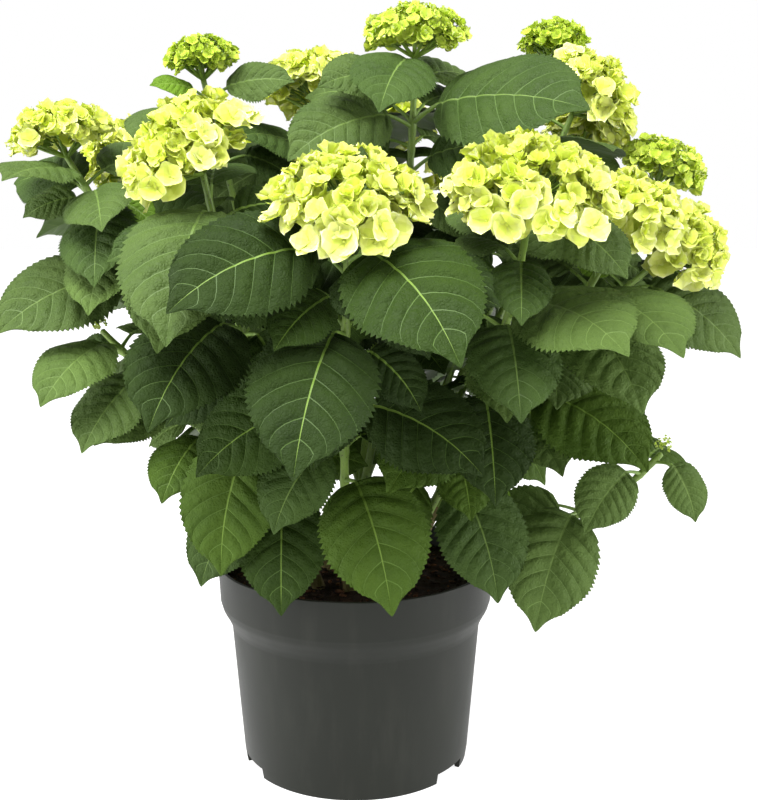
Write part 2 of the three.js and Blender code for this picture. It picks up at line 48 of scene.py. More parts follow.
# ---- the pot and its compost, in mm ----
POT_HEIGHT = 174
RIM_RADIUS = 115.6
RIM_INSIDE = 113.2
RIM_STRAIGHT = 9
RIM_ROUND = 0.9
INNER_ROUND = 0.8
WALL_TOP_RADIUS = 105
WALL_TOP = 119
WALL = 2
FLARE = ((0.11, 5), (0.41, 11), (0.73, 16.5), (0.89, 23))  # share of the step out, rise
FLARE_INSET = 2.4
FLARE_LIFT = 1.5
FLARE_EASE = 0.02
FOOT_RADIUS = 95
FOOT_TAPER = 1.2
CHANNEL_TOP = 9
CHANNEL_RADIUS = 87
CHANNEL_FOOT = 91
BOSS_RADIUS = 38
BOSS_SLOPE = 9
FLOOR = 2.2
NOTCHES = (85, 205, 325)
NOTCH_WIDTH = 36
NOTCH_DEPTH = 30
NOTCH_OUT = 4
DRAIN_COUNT = 8
DRAIN_RADIUS = 6
DRAIN_CIRCLE = 66
DRAIN_DEPTH = 20
POT_STEPS = 144
SOIL_TOP = 156
SOIL_PLAY = 0.4
SOIL_RIM_PLAY = 1.3
SOIL_FLOOR_PLAY = 0.3
LUMPS = 1.9
HEAPING = 2.4
SOIL_RINGS = 56
SOIL_STEPS = 150
CRUMBS = 900
CRUMB_CIRCLE = 111
CRUMB_LIFT = 0.6

# ---- canes, shoots and leaves, in mm and degrees ----
CANE_FOOT_RADIUS = 5.6
CANE_TIP_RADIUS = 4.4
CANE_SINK = 6
CANE_OVERLAP = 5
FOOT_SPREAD = 0.6
SHOOT_ROOT_RADIUS = 3.6
SHOOT_TIP_RADIUS = 2.4
JOINT_SWELL = 0.22
JOINT_LENGTH = 4.5
JOINT_MOST = 1.3
NECK = 16
BUD_NECK = 6
BUD_WIDTH = 20  # a head narrower than this is a bud
STALK_RISE = 25
STALK_LEAST = 12
STALK_SHARE = 0.11
STALK_RADII = (2.5, 2.0, 1.8, 1.7, 1.6, 1.6, 1.6, 0.9)
LEAF_WIDTH = 0.73
LEAF_FOLD = 12
LEAF_TURN = 52
BLADE_DROOP = 0.7
ARC_LEAST = 26
ARC_SHARE = 0.16
FILLED_TOP = 0.9
FILLED = 0.8  # the share of a shoot that filling leaves take
FILLING = ((1, 36, 1), (2, 21, 0.62))  # rank, spacing and share of full size
HANG = -18
HANG_OUTWARD = 14
FULL_LENGTH = (98, 22, 10)  # at the tip, more at mid shoot, more outward

# ---- room between the masses, in mm ----
CELL = 7
SAMPLE = 5.5
ROOT_REACH = 16
BLADE_START = 0.03
BLADE_END = 0.985
POT_CLEARANCE = 4
SKIRT_RADIUS = 150
SKIRT_HEIGHT = 226
SKIRT_FLARE = 1.3


def planned(at, width, depth, lean, face, pairs, bow=(0, 0, 0), bloom=1.0):
    """A shoot: its head's middle, width, depth, lean and facing, its given leaves, its bow and bloom."""
    return {
        "at": at, "width": width, "depth": depth, "lean": lean, "face": face, "pairs": pairs,
        "bow": bow, "bloom": bloom,
    }


# ---- the masses, one cane to each: the cane's tip, and the shoots that fork from it ----
# pairs: how far up the shoot, then each leaf's heading, hang and length, with its arc and roll
MASSES = {
    "front": ((-8, -52, 216), [
        planned((-4, -190, 491), 112, 36, (268, 28), 270, bow=(-2, -6, 0), pairs=[
            (0.97, (258, -24, 60)),
            (0.9, (310, -18, 126), (228, -20, 118)),
            (0.76, (311, -2, 106), (150, -5, 100)),
            (0.68, (252, -46, 124)),
            (0.42, (330, -25, 105), (190, -30, 105)),
            (0.18, (290, -47, 115), (250, -52, 108)),
        ]),
    ]),
    "front_left": ((-52, -38, 216), [
        planned((-128, -110, 524), 108, 38, (215, 38), 266, bow=(0, -12, 0), pairs=[
            (0.98, (43, 33, 86)),
            (0.92, (240, -16, 115), (92, 5, 90)),
            (0.88, (282, -42, 130)),
            (0.58, (243, -33, 120), (30, -15, 100)),
            (0.28, (236, -70, 108), (310, -30, 95)),
            (0.1, (264, -50, 98), (205, -58, 90)),
        ]),
    ]),
    "left": ((-60, -4, 216), [
        planned((-236, 0, 538), 84, 30, (190, 12), 258, bloom=0.7, pairs=[
            (0.92, (243, -4, 80), (60, 8, 75)),
            (0.88, (284, -20, 84), (120, 0, 85)),
            (0.76, (262, -40, 84), (30, 5, 80)),
            (0.64, (225, -21, 112), (90, -10, 100)),
            (0.4, (140, -25, 100)),
        ]),
        planned((-208, -14, 380), 14, 10, (190, 20), 255, bloom=0, pairs=[
            (0.9, (240, -28, 86), (70, -5, 70)),
            (0.72, (236, -38, 82), (130, -25, 95)),
            (0.42, (110, -35, 90)),
        ]),
    ]),
    "front_right": ((56, -36, 216), [
        planned((119, -170, 498), 120, 38, (265, 26), 272, bow=(14, 14, 0), pairs=[
            (0.98, (312, -37, 68)),
            (0.92, (267, -32, 112), (120, 8, 80)),
            (0.82, (225, -12, 84), (20, 0, 85)),
            (0.66, (293, -38, 96), (170, -5, 100)),
            (0.38, (233, -16, 115), (334, -12, 124)),
            (0.14, (300, -58, 100), (200, -48, 95)),
        ]),
    ]),
    "right": ((66, -8, 216), [
        planned((206, -98, 478), 86, 36, (300, 30), 280, bow=(8, 8, 0), pairs=[
            (0.9, (160, 15, 70)),
            (0.76, (302, -17, 116), (130, 0, 90)),
            (0.42, (318, -26, 114), (70, -10, 100)),
        ]),
        planned((258, -58, 450), 84, 38, (315, 50), 285, bow=(0, 6, 14), pairs=[
            (0.96, (322, -4, 56), (80, 10, 60)),
            (0.84, (343, -30, 94), (150, 5, 80)),
            (0.56, (30, 0, 85), (240, -15, 90)),
        ]),
        planned((250, -42, 284), 15, 12, (20, 20), 272, bow=(10, 4, -34), bloom=0, pairs=[
            (0.96, (316, -48, 50), (100, 10, 34)),
            (0.9, (222, -38, 68), (60, -10, 80)),
            (0.62, (238, -50, 106), (200, -30, 80)),
        ]),
    ]),
    "back_right": ((48, 44, 216), [
        planned((208, 60, 570), 90, 38, (345, 42), 300, pairs=[
            (0.96, (324, -36, 66), (150, 0, 80)),
            (0.66, (0, -10, 105), (250, 0, 90)),
            (0.45, (30, -25, 115), (290, -10, 100)),
            (0.22, (10, -40, 105), (120, -30, 105)),
        ]),
        planned((174, 110, 617), 62, 26, (90, 6), 270, bloom=0.25, pairs=[
            (0.95, (188, 10, 28), (25, 10, 28)),
            (0.72, (90, -5, 100), (250, 0, 70)),
        ]),
        planned((268, 62, 512), 80, 30, (0, 22), 290, bow=(0, 0, 10), bloom=0.4, pairs=[
            (0.86, (200, 0, 60), (50, -10, 85)),
            (0.62, (340, -30, 105), (100, -20, 105)),
            (0.35, (20, -45, 110), (80, -45, 110)),
        ]),
        planned((210, 125, 540), 74, 32, (40, 20), 30, pairs=[
            (0.8, (60, -15, 100), (150, 0, 90)),
            (0.5, (80, -30, 115), (20, -30, 100)),
        ]),
    ]),
    "top": ((4, 8, 222), [
        planned((48, 0, 616), 86, 30, (0, 0), 270, bow=(10, -4, 0), bloom=0.35, pairs=[
            (0.97, (246, -28, 94), (310, -8, 76)),
            (0.93, (205, 6, 76), (30, 5, 80)),
            (0.86, (321, -3, 138, 30, 46), (150, 5, 95)),
            (0.66, (240, 0, 105), (60, 0, 110)),
            (0.46, (285, -10, 100), (100, -10, 110)),
        ]),
        planned((34, 175, 548), 78, 34, (100, 20), 270, pairs=[
            (0.82, (190, -5, 90), (10, -5, 100)),
            (0.6, (120, -20, 110), (60, -20, 110)),
        ]),
    ]),
    "back_left": ((-40, 44, 216), [
        planned((-36, 130, 582), 94, 40, (110, 16), 265, pairs=[
            (0.86, (215, 5, 90), (20, 5, 95)),
            (0.66, (120, -10, 110), (300, 0, 90)),
            (0.45, (150, -25, 115), (60, -25, 110)),
        ]),
        planned((-128, 60, 600), 62, 26, (180, 4), 260, bloom=0.2, pairs=[
            (0.95, (352, 18, 66), (190, 10, 40)),
            (0.88, (230, -8, 102), (10, 6, 88)),
            (0.66, (170, -15, 115), (300, 0, 90)),
            (0.4, (200, -30, 110), (110, -30, 110)),
        ]),
        planned((-205, 120, 520), 92, 38, (150, 30), 150, pairs=[
            (0.86, (190, -15, 95), (80, -5, 100)),
            (0.64, (160, -25, 115), (230, -20, 95)),
            (0.4, (140, -40, 115), (200, -40, 105)),
        ]),
    ]),
    "back": ((6, 62, 216), [
        planned((122, 212, 498), 104, 42, (62, 30), 65, pairs=[
            (0.88, (90, -25, 110), (330, 0, 90)),
            (0.68, (50, -30, 120), (140, -20, 110)),
            (0.45, (90, -45, 130), (20, -40, 115)),
            (0.2, (75, -50, 120), (130, -50, 115)),
        ]),
        planned((-92, 195, 500), 102, 40, (115, 34), 110, pairs=[
            (0.88, (100, -28, 108), (170, -15, 100)),
            (0.68, (140, -30, 120), (60, -25, 110)),
            (0.45, (105, -48, 125), (165, -45, 115)),
            (0.2, (120, -50, 115), (200, -50, 105)),
        ]),
    ]),
}

# ---- camera and light, in metres ----
LENS = 58.5
CAMERA_PLACE = (0, -1.060, 0.510)
CAMERA_TURN = (90 - 10.72, 0, -1.07)
WALL_GLOW = 0.62
LIT_MIDDLE = (0, 0, 0.35)
SOFTBOXES = (
    ("top_softbox", (-0.45, -0.8, 1.95), (1.3, 1.1), 80),
    ("left_softbox", (-1.9, -0.5, 0.8), (1.0, 1.8), 38),
    ("right_softbox", (1.9, -0.5, 0.8), (1.0, 1.8), 44),
)


def put(name, data):
    """A new object in the scene."""
    made = bpy.data.objects.new(name, data)
    bpy.context.scene.collection.objects.link(made)
    return made


def make_camera():
    camera = put("camera", bpy.data.cameras.new("camera"))
    camera.data.sensor_width = 36
    camera.data.lens = LENS
    camera.data.clip_start = 0.05
    camera.location = CAMERA_PLACE
    camera.rotation_euler = [math.radians(angle) for angle in CAMERA_TURN]
    bpy.context.scene.camera = camera


def make_softbox(name, place, size, power):
    lamp = bpy.data.lights.new(name, "AREA")
    lamp.shape = "RECTANGLE"
    lamp.size, lamp.size_y = size
    lamp.energy = power
    box = put(name, lamp)
    box.location = place
    box.rotation_euler = (Vector(LIT_MIDDLE) - Vector(place)).to_track_quat("-Z", "Y").to_euler()


def make_light():
    """Pale walls that light the plant and look white, and three softboxes."""
    world = bpy.data.worlds.new("studio")
    world.use_nodes = True
    tree = world.node_tree
    walls = tree.nodes["Background"]
    walls.inputs["Color"].default_value = (1, 1, 1, 1)
    walls.inputs["Strength"].default_value = WALL_GLOW
    backdrop = tree.nodes.new("ShaderNodeBackground")
    backdrop.inputs["Color"].default_value = (1, 1, 1, 1)
    seen = tree.nodes.new("ShaderNodeLightPath")
    choice = tree.nodes.new("ShaderNodeMixShader")
    tree.links.new(seen.outputs["Is Camera Ray"], choice.inputs["Fac"])
    tree.links.new(walls.outputs["Background"], choice.inputs[1])
    tree.links.new(backdrop.outputs["Background"], choice.inputs[2])
    tree.links.new(choice.outputs["Shader"], tree.nodes["World Output"].inputs["Surface"])
    bpy.context.scene.world = world
    for softbox in SOFTBOXES:
        make_softbox(*softbox)
    bpy.context.scene.view_settings.view_transform = "Standard"


make_camera()
make_light()


# ---- vectors ----
def add(a, b):
    return (a[0] + b[0], a[1] + b[1], a[2] + b[2])


def sub(a, b):
    return (a[0] - b[0], a[1] - b[1], a[2] - b[2])


def mul(a, k):
    return (a[0] * k, a[1] * k, a[2] * k)


def mix(a, b, t):
    return add(mul(a, 1 - t), mul(b, t))


def dot(a, b):
    return a[0] * b[0] + a[1] * b[1] + a[2] * b[2]


def unit(a):
    return mul(a, 1 / math.sqrt(dot(a, a)))


def cross(a, b):
    return (a[1] * b[2] - a[2] * b[1], a[2] * b[0] - a[0] * b[2], a[0] * b[1] - a[1] * b[0])


def heading(azimuth, elevation):
    a, e = math.radians(azimuth), math.radians(elevation)
    return (math.cos(a) * math.cos(e), math.sin(a) * math.cos(e), math.sin(e))


def squared(axis, slant):
    """Two directions square to an axis and to each other; slant only sets where they start."""
    side = unit(cross(axis, slant))
    return side, cross(axis, side)


WORD = 0xFFFFFFFF


def chance(a, b, c):
    """A number from 0 to 1, all alike likely, set by a, b and c alone; c keeps its uses apart."""
    h = ((a + 1) * 0x9E3779B1 & WORD) ^ ((b + 1) * 0x85EBCA6B & WORD) ^ ((c + 1) * 0xC2B2AE35 & WORD)
    h = (h ^ h >> 15) * 0x2C1B3C6D & WORD
    h = (h ^ h >> 12) * 0x297A2D39 & WORD
    return (h ^ h >> 15) / (WORD + 1)


def spread(a, b, c, low, high):
    return low + (high - low) * chance(a, b, c)


# ---- canes and shoots ----
def foot_of(tip):
    """Where a cane leaves the compost, from the place of its tip."""
    return (tip[0] * FOOT_SPREAD, tip[1] * FOOT_SPREAD, SOIL_TOP)


def is_bud(shoot):
    """Whether a shoot ends in a bud in place of a flower head."""
    return shoot["width"] < BUD_WIDTH


def shoot_path(tip, shoot):
    """A shoot's curve, from its cane's tip to just under its head."""
    lean = heading(shoot["lean"][0], 90 - shoot["lean"][1])
    neck = BUD_NECK if is_bud(shoot) else NECK
    end = sub(shoot["at"], mul(lean, shoot["depth"] * 0.5 + neck))
    middle = mix(tip, end, 0.5)
    return (tip, add(middle, mul(shoot["bow"], 2)), end)


def along(path, t):
    return mix(mix(path[0], path[1], t), mix(path[1], path[2], t), t)


def length_of(path):
    total = 0
    for i in range(20):
        step = sub(along(path, (i + 1) / 20), along(path, i / 20))
        total += math.sqrt(dot(step, step))
    return total


# ---- leaves ----
BASE_POWER = 0.55
TIP_POWER = 0.9
WIDEST = 0.38
BREADTH_PEAK = WIDEST**BASE_POWER * (1 - WIDEST) ** TIP_POWER


def breadth(u):
    """A blade's breadth at a share of its length, 1 at its widest."""
    return u**BASE_POWER * (1 - u) ** TIP_POWER / BREADTH_PEAK


def fold_lift(half, width):
    """How far the blade stands over its midrib, half mm out from it."""
    return abs(half) * math.tan(math.radians(LEAF_FOLD)) - BLADE_DROOP * half * half / width


def leaf_at(node, azimuth, hang, length, bend, roll):
    rise = hang + bend / 2
    stalk = mul(heading(azimuth, rise * 0.5 + STALK_RISE), STALK_LEAST + length * STALK_SHARE)
    return {
        "node": node, "base": add(node, stalk), "azimuth": azimuth, "rise": rise, "bend": bend,
        "length": length, "width": length * LEAF_WIDTH, "roll": roll,
    }


def leaf_frame(leaf, u):
    """The midrib is an arc, rising at the base and hanging at the tip."""
    bend, rise = math.radians(leaf["bend"]), math.radians(leaf["rise"])
    slope = rise - bend * u
    forward = leaf["length"] * (math.sin(rise) - math.sin(slope)) / bend
    up = leaf["length"] * (math.cos(slope) - math.cos(rise)) / bend
    a = math.radians(leaf["azimuth"])
    point = add(leaf["base"], (forward * math.cos(a), forward * math.sin(a), up))
    ahead = (math.cos(a) * math.cos(slope), math.sin(a) * math.cos(slope), math.sin(slope))
    level = (-math.sin(a), math.cos(a), 0)
    roll = math.radians(leaf["roll"])
    side = add(mul(level, math.cos(roll)), mul(cross(ahead, level), math.sin(roll)))
    return point, side, cross(ahead, side)


def leaf_samples(leaf):
    """Yields points all over the blade, and whether each is close to the stalk."""
    rows = max(6, math.floor(leaf["length"] / SAMPLE + 0.5))
    for i in range(rows + 1):
        u = min(max(i / rows, BLADE_START), BLADE_END)
        point, side, normal = leaf_frame(leaf, u)
        columns = max(1, math.ceil(leaf["width"] / 2 * breadth(u) / SAMPLE))
        for j in range(-columns, columns + 1):
            half = leaf["width"] / 2 * breadth(u) * (j / columns)
            lift = mul(normal, fold_lift(half, leaf["width"]))
            yield add(point, add(mul(side, half), lift)), u * leaf["length"] < ROOT_REACH


# ---- room in the crown, as a grid of cells; each holds a bit for every mass in it ----
reach, blades, stalks = {}, {}, {}
AROUND = [(a, b, c) for a in (-1, 0, 1) for b in (-1, 0, 1) for c in (-1, 0, 1)]


def cell_of(point):
    return tuple(math.floor(value / CELL) for value in point)


def claim(points, mass, own):
    """Marks the cells about some points as in the mass's reach, and the nearest as its own."""
    bit = 1 << mass
    for i, j, k in {cell_of(point) for point in points}:
        for a, b, c in AROUND:
            key = (i + a, j + b, k + c)
            reach[key] = reach.get(key, 0) | bit
            if abs(a) + abs(b) + abs(c) <= 1:
                own[key] = own.get(key, 0) | bit


def is_free(samples, mass, rank):
    """Whether points clear the pot, the skirt, other masses and what the mass has there already."""
    bit = 1 << mass
    for point, root in samples:
        radius = math.hypot(point[0], point[1])
        if point[2] < POT_HEIGHT + POT_CLEARANCE and radius < RIM_RADIUS + POT_CLEARANCE:
            return False
        skirt = SKIRT_RADIUS + max(0, point[2] - SKIRT_HEIGHT) * SKIRT_FLARE
        if rank > 0 and radius > skirt:
            return False
        key = cell_of(point)
        if reach.get(key, 0) & ~bit or blades.get(key, 0) & bit:
            return False
        if not root and stalks.get(key, 0) & bit:
            return False
    return True


def head_basis(shoot):
    """A head's axis, two directions square to it, and its middle."""
    axis = heading(shoot["lean"][0], 90 - shoot["lean"][1])
    side, other = squared(axis, (0.31, 0.52, 0.8))
    return axis, side, other, sub(shoot["at"], mul(axis, shoot["depth"] * 0.5))


def head_point(shoot, basis, around, latitude, scale=1.0):
    """A point of the head's dome, by angles in radians round its axis and up from its rim."""
    axis, side, other, centre = basis
    radius = shoot["width"] / 2 * math.cos(latitude) * scale
    flat = add(mul(side, math.cos(around) * radius), mul(other, math.sin(around) * radius))
    return add(centre, add(flat, mul(axis, shoot["depth"] * math.sin(latitude))))


def head_samples(shoot):
    """Points all over a head's dome and its underside."""
    basis = head_basis(shoot)
    rises, sides, rings = 8, 36, 4
    samples = []
    for i in range(rises + 1):
        for j in range(sides):
            around = j / sides * 2 * math.pi
            samples.append(head_point(shoot, basis, around, i / rises * math.pi / 2))
            if i < rings:
                samples.append(head_point(shoot, basis, around, 0, i / rings))
    return samples


# ---- growing ----
def leaf_order(shoots):
    """Leaves given for a shoot first, then pairs at even spacing, then small leaves between."""
    order = []
    at_tip, at_middle, outer = FULL_LENGTH
    for shoot in shoots:
        number = shoot["id"]
        for k, (share, *leaves) in enumerate(shoot["pairs"]):
            for side, leaf in enumerate(leaves):
                order.append((0, k + side / 2, number, shoot, share, leaf))
        turn = spread(number, 0, 3, 0, 180)
        for rank, spacing, size in FILLING:
            count = math.floor(length_of(shoot["path"]) * FILLED / spacing)
            for k in range(count):
                share = FILLED_TOP - (k + 0.5) * FILLED / count
                node = along(shoot["path"], share)
                for side in (0, 1):
                    draw = k * 2 + side
                    azimuth = turn + 90 * k + 180 * side + spread(number, draw, 5, -14, 14)
                    outward = math.cos(math.radians(azimuth) - math.atan2(node[1], node[0]))
                    hang = HANG - HANG_OUTWARD * outward + spread(number, draw, 6, -8, 8)
                    full = at_tip + at_middle * math.sin(math.pi * (1 - share)) + outer * outward
                    length = full * size * spread(number, draw, 8, 0.88, 1.08)
                    leaf = (azimuth + 45 * (rank - 1), hang, length)
                    order.append((rank, k, number + side / 2, shoot, share, leaf))
    return sorted(order, key=lambda item: item[:3])


# ways to turn, lower and shorten a leaf until it finds room: for given leaves, and for the rest
GIVEN_WAYS = [
    (turn, drop, size)
    for size in (1, 0.9)
    for drop in (0, -7, 7, -14, 14)
    for turn in (0, 7, -7, 14, -14, 22, -22)
]
FILLING_WAYS = [
    (turn, drop, size)
    for size in (1, 0.82, 0.66)
    for turn in (0, 15, -15, 30, -30, 45, -45)
    for drop in (0, -12, 12, -24, 24)
]


def settle(rank, shoot, share, given):
    """The leaf as it first finds room, with that room claimed, or None."""
    node = along(shoot["path"], share)
    azimuth, hang, length, *form = given
    mass = shoot["mass"]
    for turn, drop, size in FILLING_WAYS if rank else GIVEN_WAYS:
        swing = LEAF_TURN * math.sin(math.radians(azimuth + turn - shoot["face"]))
        arc, roll = form or (ARC_LEAST + length * ARC_SHARE, swing)
        leaf = leaf_at(node, azimuth + turn, hang + drop, length * size, arc, roll)
        stalk = [(mix(node, leaf["base"], n / 5), True) for n in range(1, 6)]
        if is_free(leaf_samples(leaf), mass, rank) and is_free(stalk, mass, rank):
            claim([point for point, _ in leaf_samples(leaf)], mass, blades)
            claim([point for point, _ in stalk], mass, stalks)
            return leaf
    return None


def grow_plant():
    """Canes, shoots and heads take their room first, and then the leaves, one by one."""
    shoots = []
    for index, (tip, forks) in enumerate(MASSES.values()):
        foot = foot_of(tip)
        claim([mix(foot, tip, i / 8) for i in range(9)], len(MASSES), stalks)
        for shoot in forks:
            shoot.update(id=len(shoots), mass=index, path=shoot_path(tip, shoot), leaves=[])
            claim([along(shoot["path"], (i + 2) / 60) for i in range(59)], index, stalks)
            claim(head_samples(shoot), index, blades)
            shoots.append(shoot)
    for rank, _, _, shoot, share, given in leaf_order(shoots):
        leaf = settle(rank, shoot, share, given)
        if leaf:
            leaf.update(share=share, number=len(shoot["leaves"]) + 100 * shoot["id"])
            shoot["leaves"].append(leaf)
    return shoots


# ---- finishes ----
def paint(red, green, blue):
    """A colour given as 0 to 255 a channel, as linear light."""
    def linear(value):
        value /= 255
        return value / 12.92 if value <= 0.04045 else ((value + 0.055) / 1.055) ** 2.4
    return (linear(red), linear(green), linear(blue), 1)


class Term:
    """A value socket, so that shader maths reads as plain sums."""

    def __init__(self, finish, socket):
        self.finish = finish
        self.socket = socket

    def __add__(self, other):
        return self.finish.maths("ADD", self, other)

    def __mul__(self, other):
        return self.finish.maths("MULTIPLY", self, other)

    __radd__ = __add__
    __rmul__ = __mul__


class Finish:
    """One material, with plain values on its shader and the nodes that vary over the surface."""

    def __init__(self, name, **plain):
        self.material = bpy.data.materials.new(name)
        self.material.use_nodes = True
        self.tree = self.material.node_tree
        self.shader = self.tree.nodes["Principled BSDF"]
        for socket, value in plain.items():
            title = socket.replace("_", " ").title().replace("Ior", "IOR")
            self.shader.inputs[title].default_value = value
        self.place = self.node("ShaderNodeTexCoord", output="Object")

    def node(self, kind, output=0, settings=None, inputs=None):
        """Adds a node: its settings first, then the values or links of its sockets."""
        made = self.tree.nodes.new(kind)
        for key, value in (settings or {}).items():
            setattr(made, key, value)
        for key, value in (inputs or {}).items():
            if isinstance(value, Term):
                self.tree.links.new(value.socket, made.inputs[key])
            else:
                made.inputs[key].default_value = value
        return Term(self, made.outputs[output])

    def maths(self, operation, a, b):
        return self.node("ShaderNodeMath", settings={"operation": operation}, inputs={0: a, 1: b})

    def noise(self, scale, detail=3, roughness=0.55, stretch=None):
        place = self.place
        if stretch:
            place = self.node("ShaderNodeMapping", inputs={"Vector": place, "Scale": stretch})
        return self.node(
            "ShaderNodeTexNoise",
            inputs={"Vector": place, "Scale": scale, "Detail": detail, "Roughness": roughness},
        )

    def cells(self, scale, feature):
        return self.node(
            "ShaderNodeTexVoronoi", "Distance",
            settings={"feature": feature}, inputs={"Vector": self.place, "Scale": scale},
        )

    def between(self, value, low, high):
        """value stretched so that low reads 0 and high reads 1, held there."""
        return self.node(
            "ShaderNodeMapRange", inputs={"Value": value, "From Min": low, "From Max": high},
        )

    def clouded(self, low, high, scale, detail, edge, gloss, duller, roughness=0.55):
        """Two colours in soft clouds, the second one duller; returns the clouds."""
        clouds = self.between(self.noise(scale, detail, roughness), edge, 1 - edge)
        self.link("Base Color", self.blend(clouds, paint(*low), paint(*high)))
        self.link("Roughness", gloss + duller * clouds)
        return clouds

    def blend(self, factor, first, second):
        """A colour between two."""
        return self.node(
            "ShaderNodeMix", 2, settings={"data_type": "RGBA"}, inputs={0: factor, 6: first, 7: second},
        )

    def relief(self, height, strength, depth):
        """Height in mm times depth, as a bump."""
        bump = self.node(
            "ShaderNodeBump",
            inputs={"Height": height, "Strength": strength, "Distance": depth * MM},
        )
        self.link("Normal", bump)

    def link(self, socket, term):
        self.tree.links.new(term.socket, self.shader.inputs[socket])


def blade_finish(name, low, high, gloss):
    """Leaf skin: two close greens in soft clouds, with a fine net of veinlets."""
    skin = Finish(name, specular_ior_level=0.14)
    skin.clouded(low, high, 26, 4, 0.32, gloss, 0.12)
    net = skin.between(skin.cells(400, "DISTANCE_TO_EDGE"), 0.0, 0.3)
    puckers = skin.between(skin.cells(190, "SMOOTH_F1"), 0.75, 0.1)
    skin.relief(puckers + 0.3 * net, 0.75, 1.5)
    return skin.material


def vein_finish(name, low, high):
    skin = Finish(name, specular_ior_level=0.2)
    skin.clouded(low, high, 60, 3, 0.35, 0.45, 0.1)
    skin.relief(skin.noise(900, 2), 0.3, 0.3)
    return skin.material


def stem_finish(name, low, high, speck):
    """Green stem with fine dark specks, drawn out a little along its length."""
    skin = Finish(name, specular_ior_level=0.45)
    clouds = skin.between(skin.noise(45, 4), 0.35, 0.65)
    specks = skin.between(skin.noise(700, 2, stretch=(1, 1, 0.45)), 0.6, 0.68)
    green = skin.blend(clouds, paint(*low), paint(*high))
    skin.link("Base Color", skin.blend(specks * 0.7, green, paint(*speck)))
    skin.link("Roughness", 0.42 + 0.15 * clouds)
    skin.relief(skin.noise(500, 3, stretch=(1, 1, 0.3)), 0.35, 0.5)
    return skin.material


def bark_finish():
    """Young bark: olive brown with paler ridges along the cane."""
    skin = Finish("cane_bark", specular_ior_level=0.3)
    ridges = skin.noise(260, 5, 0.6, stretch=(1, 1, 0.16))
    patches = skin.between(skin.noise(38, 4), 0.38, 0.62)
    brown = skin.blend(patches, paint(76, 64, 34), paint(96, 92, 46))
    crests = skin.between(ridges, 0.42, 0.66)
    skin.link("Base Color", skin.blend(crests, brown, paint(120, 110, 74)))
    skin.link("Roughness", 0.72 + 0.15 * patches)
    skin.relief(ridges, 0.7, 1.0)
    return skin.material


def petal_finish(name, tint):
    """Sepal: satin, a little see-through, with a fine grain."""
    skin = Finish(
        name, specular_ior_level=0.2, subsurface_weight=0.45, subsurface_scale=0.006,
        subsurface_radius=(0.9, 1, 0.4),
    )
    shaded = [channel * 0.96 for channel in tint]
    skin.clouded(shaded, tint, 34, 3, 0.36, 0.55, 0.1)
    skin.relief(skin.noise(650, 3), 0.25, 0.35)
    return skin.material


def pot_finish():
    """Moulded matte plastic: fine grain, faint scuffs round the wall."""
    skin = Finish("pot_plastic", specular_ior_level=0.24)
    clouds = skin.between(skin.noise(9, 4), 0.35, 0.65)
    scuffs = skin.between(skin.noise(60, 5, 0.65, stretch=(1, 1, 0.2)), 0.5, 0.75)
    grey = skin.blend(clouds, paint(18, 21, 14), paint(22, 25, 18))
    skin.link("Base Color", skin.blend(scuffs * 0.3, grey, paint(46, 47, 41)))
    skin.link("Roughness", 0.42 + 0.08 * clouds + 0.06 * scuffs)
    skin.relief(skin.noise(1500, 2) + 0.4 * skin.noise(400, 2), 0.22, 0.25)
    return skin.material


def soil_finish(name, low, high):
    skin = Finish(name, specular_ior_level=0.2)
    skin.clouded(low, high, 120, 6, 0.38, 0.85, 0.1, roughness=0.65)
    skin.relief(skin.noise(480, 5, 0.7), 0.8, 1.6)
    return skin.material


def floor_finish():
    """Pale studio paper that glows a little, so that its far end stays as light as the wall."""
    skin = Finish("floor_paper", specular_ior_level=0.1, emission_strength=0.86)
    clouds = skin.noise(3, 2)
    for socket, low, high in (("Base Color", 0.42, 0.44), ("Emission Color", 0.97, 1)):
        skin.link(socket, skin.blend(clouds, (low, low, low, 1), (high, high, high, 1)))
    skin.link("Roughness", 0.85 + 0.05 * clouds)
    return skin.material


# ---- joined meshes ----
class Heap:
    """Many small pieces gathered into one mesh."""

    def __init__(self):
        self.points = []
        self.faces = []
        self.finishes = []
        self.count = 0

    def add(self, points):
        """Takes points in mm, and returns the number of the first."""
        first = self.count
        self.points.append(np.asarray(points, dtype=float).reshape(-1, 3))
        self.count += len(self.points[-1])
        return first

    def sew(self, first, faces, finishes):
        """Faces between the points from number first on, with a finish for all or one for each."""
        self.faces.append(np.asarray(faces, dtype=np.int64) + first)
        self.finishes.append(np.broadcast_to(finishes, len(faces)))

    def piece(self, name, materials, slot="foliage", nodes=MASS_NODES, crease=None):
        mesh = bpy.data.meshes.new(name)
        points = np.concatenate(self.points) * MM
        sizes = np.concatenate([np.full(len(f), f.shape[1]) for f in self.faces])
        mesh.vertices.add(len(points))
        mesh.vertices.foreach_set("co", points.astype(np.float32).ravel())
        mesh.loops.add(int(sizes.sum()))
        mesh.loops.foreach_set("vertex_index", np.concatenate([f.ravel() for f in self.faces]))
        mesh.polygons.add(len(sizes))
        mesh.polygons.foreach_set("loop_start", np.concatenate([[0], np.cumsum(sizes)[:-1]]))
        mesh.polygons.foreach_set("material_index", np.concatenate(self.finishes))
        mesh.update(calc_edges=True)
        mesh.validate()
        mesh.shade_smooth()
        if crease:
            mesh.set_sharp_from_angle(angle=math.radians(crease))
        return place_piece(name, mesh, materials, nodes)


def place_piece(name, mesh, materials, nodes):
    for material in materials:
        mesh.materials.append(material)
    piece = put(name, mesh)
    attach(piece, "root")
    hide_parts(*nodes)
    return piece


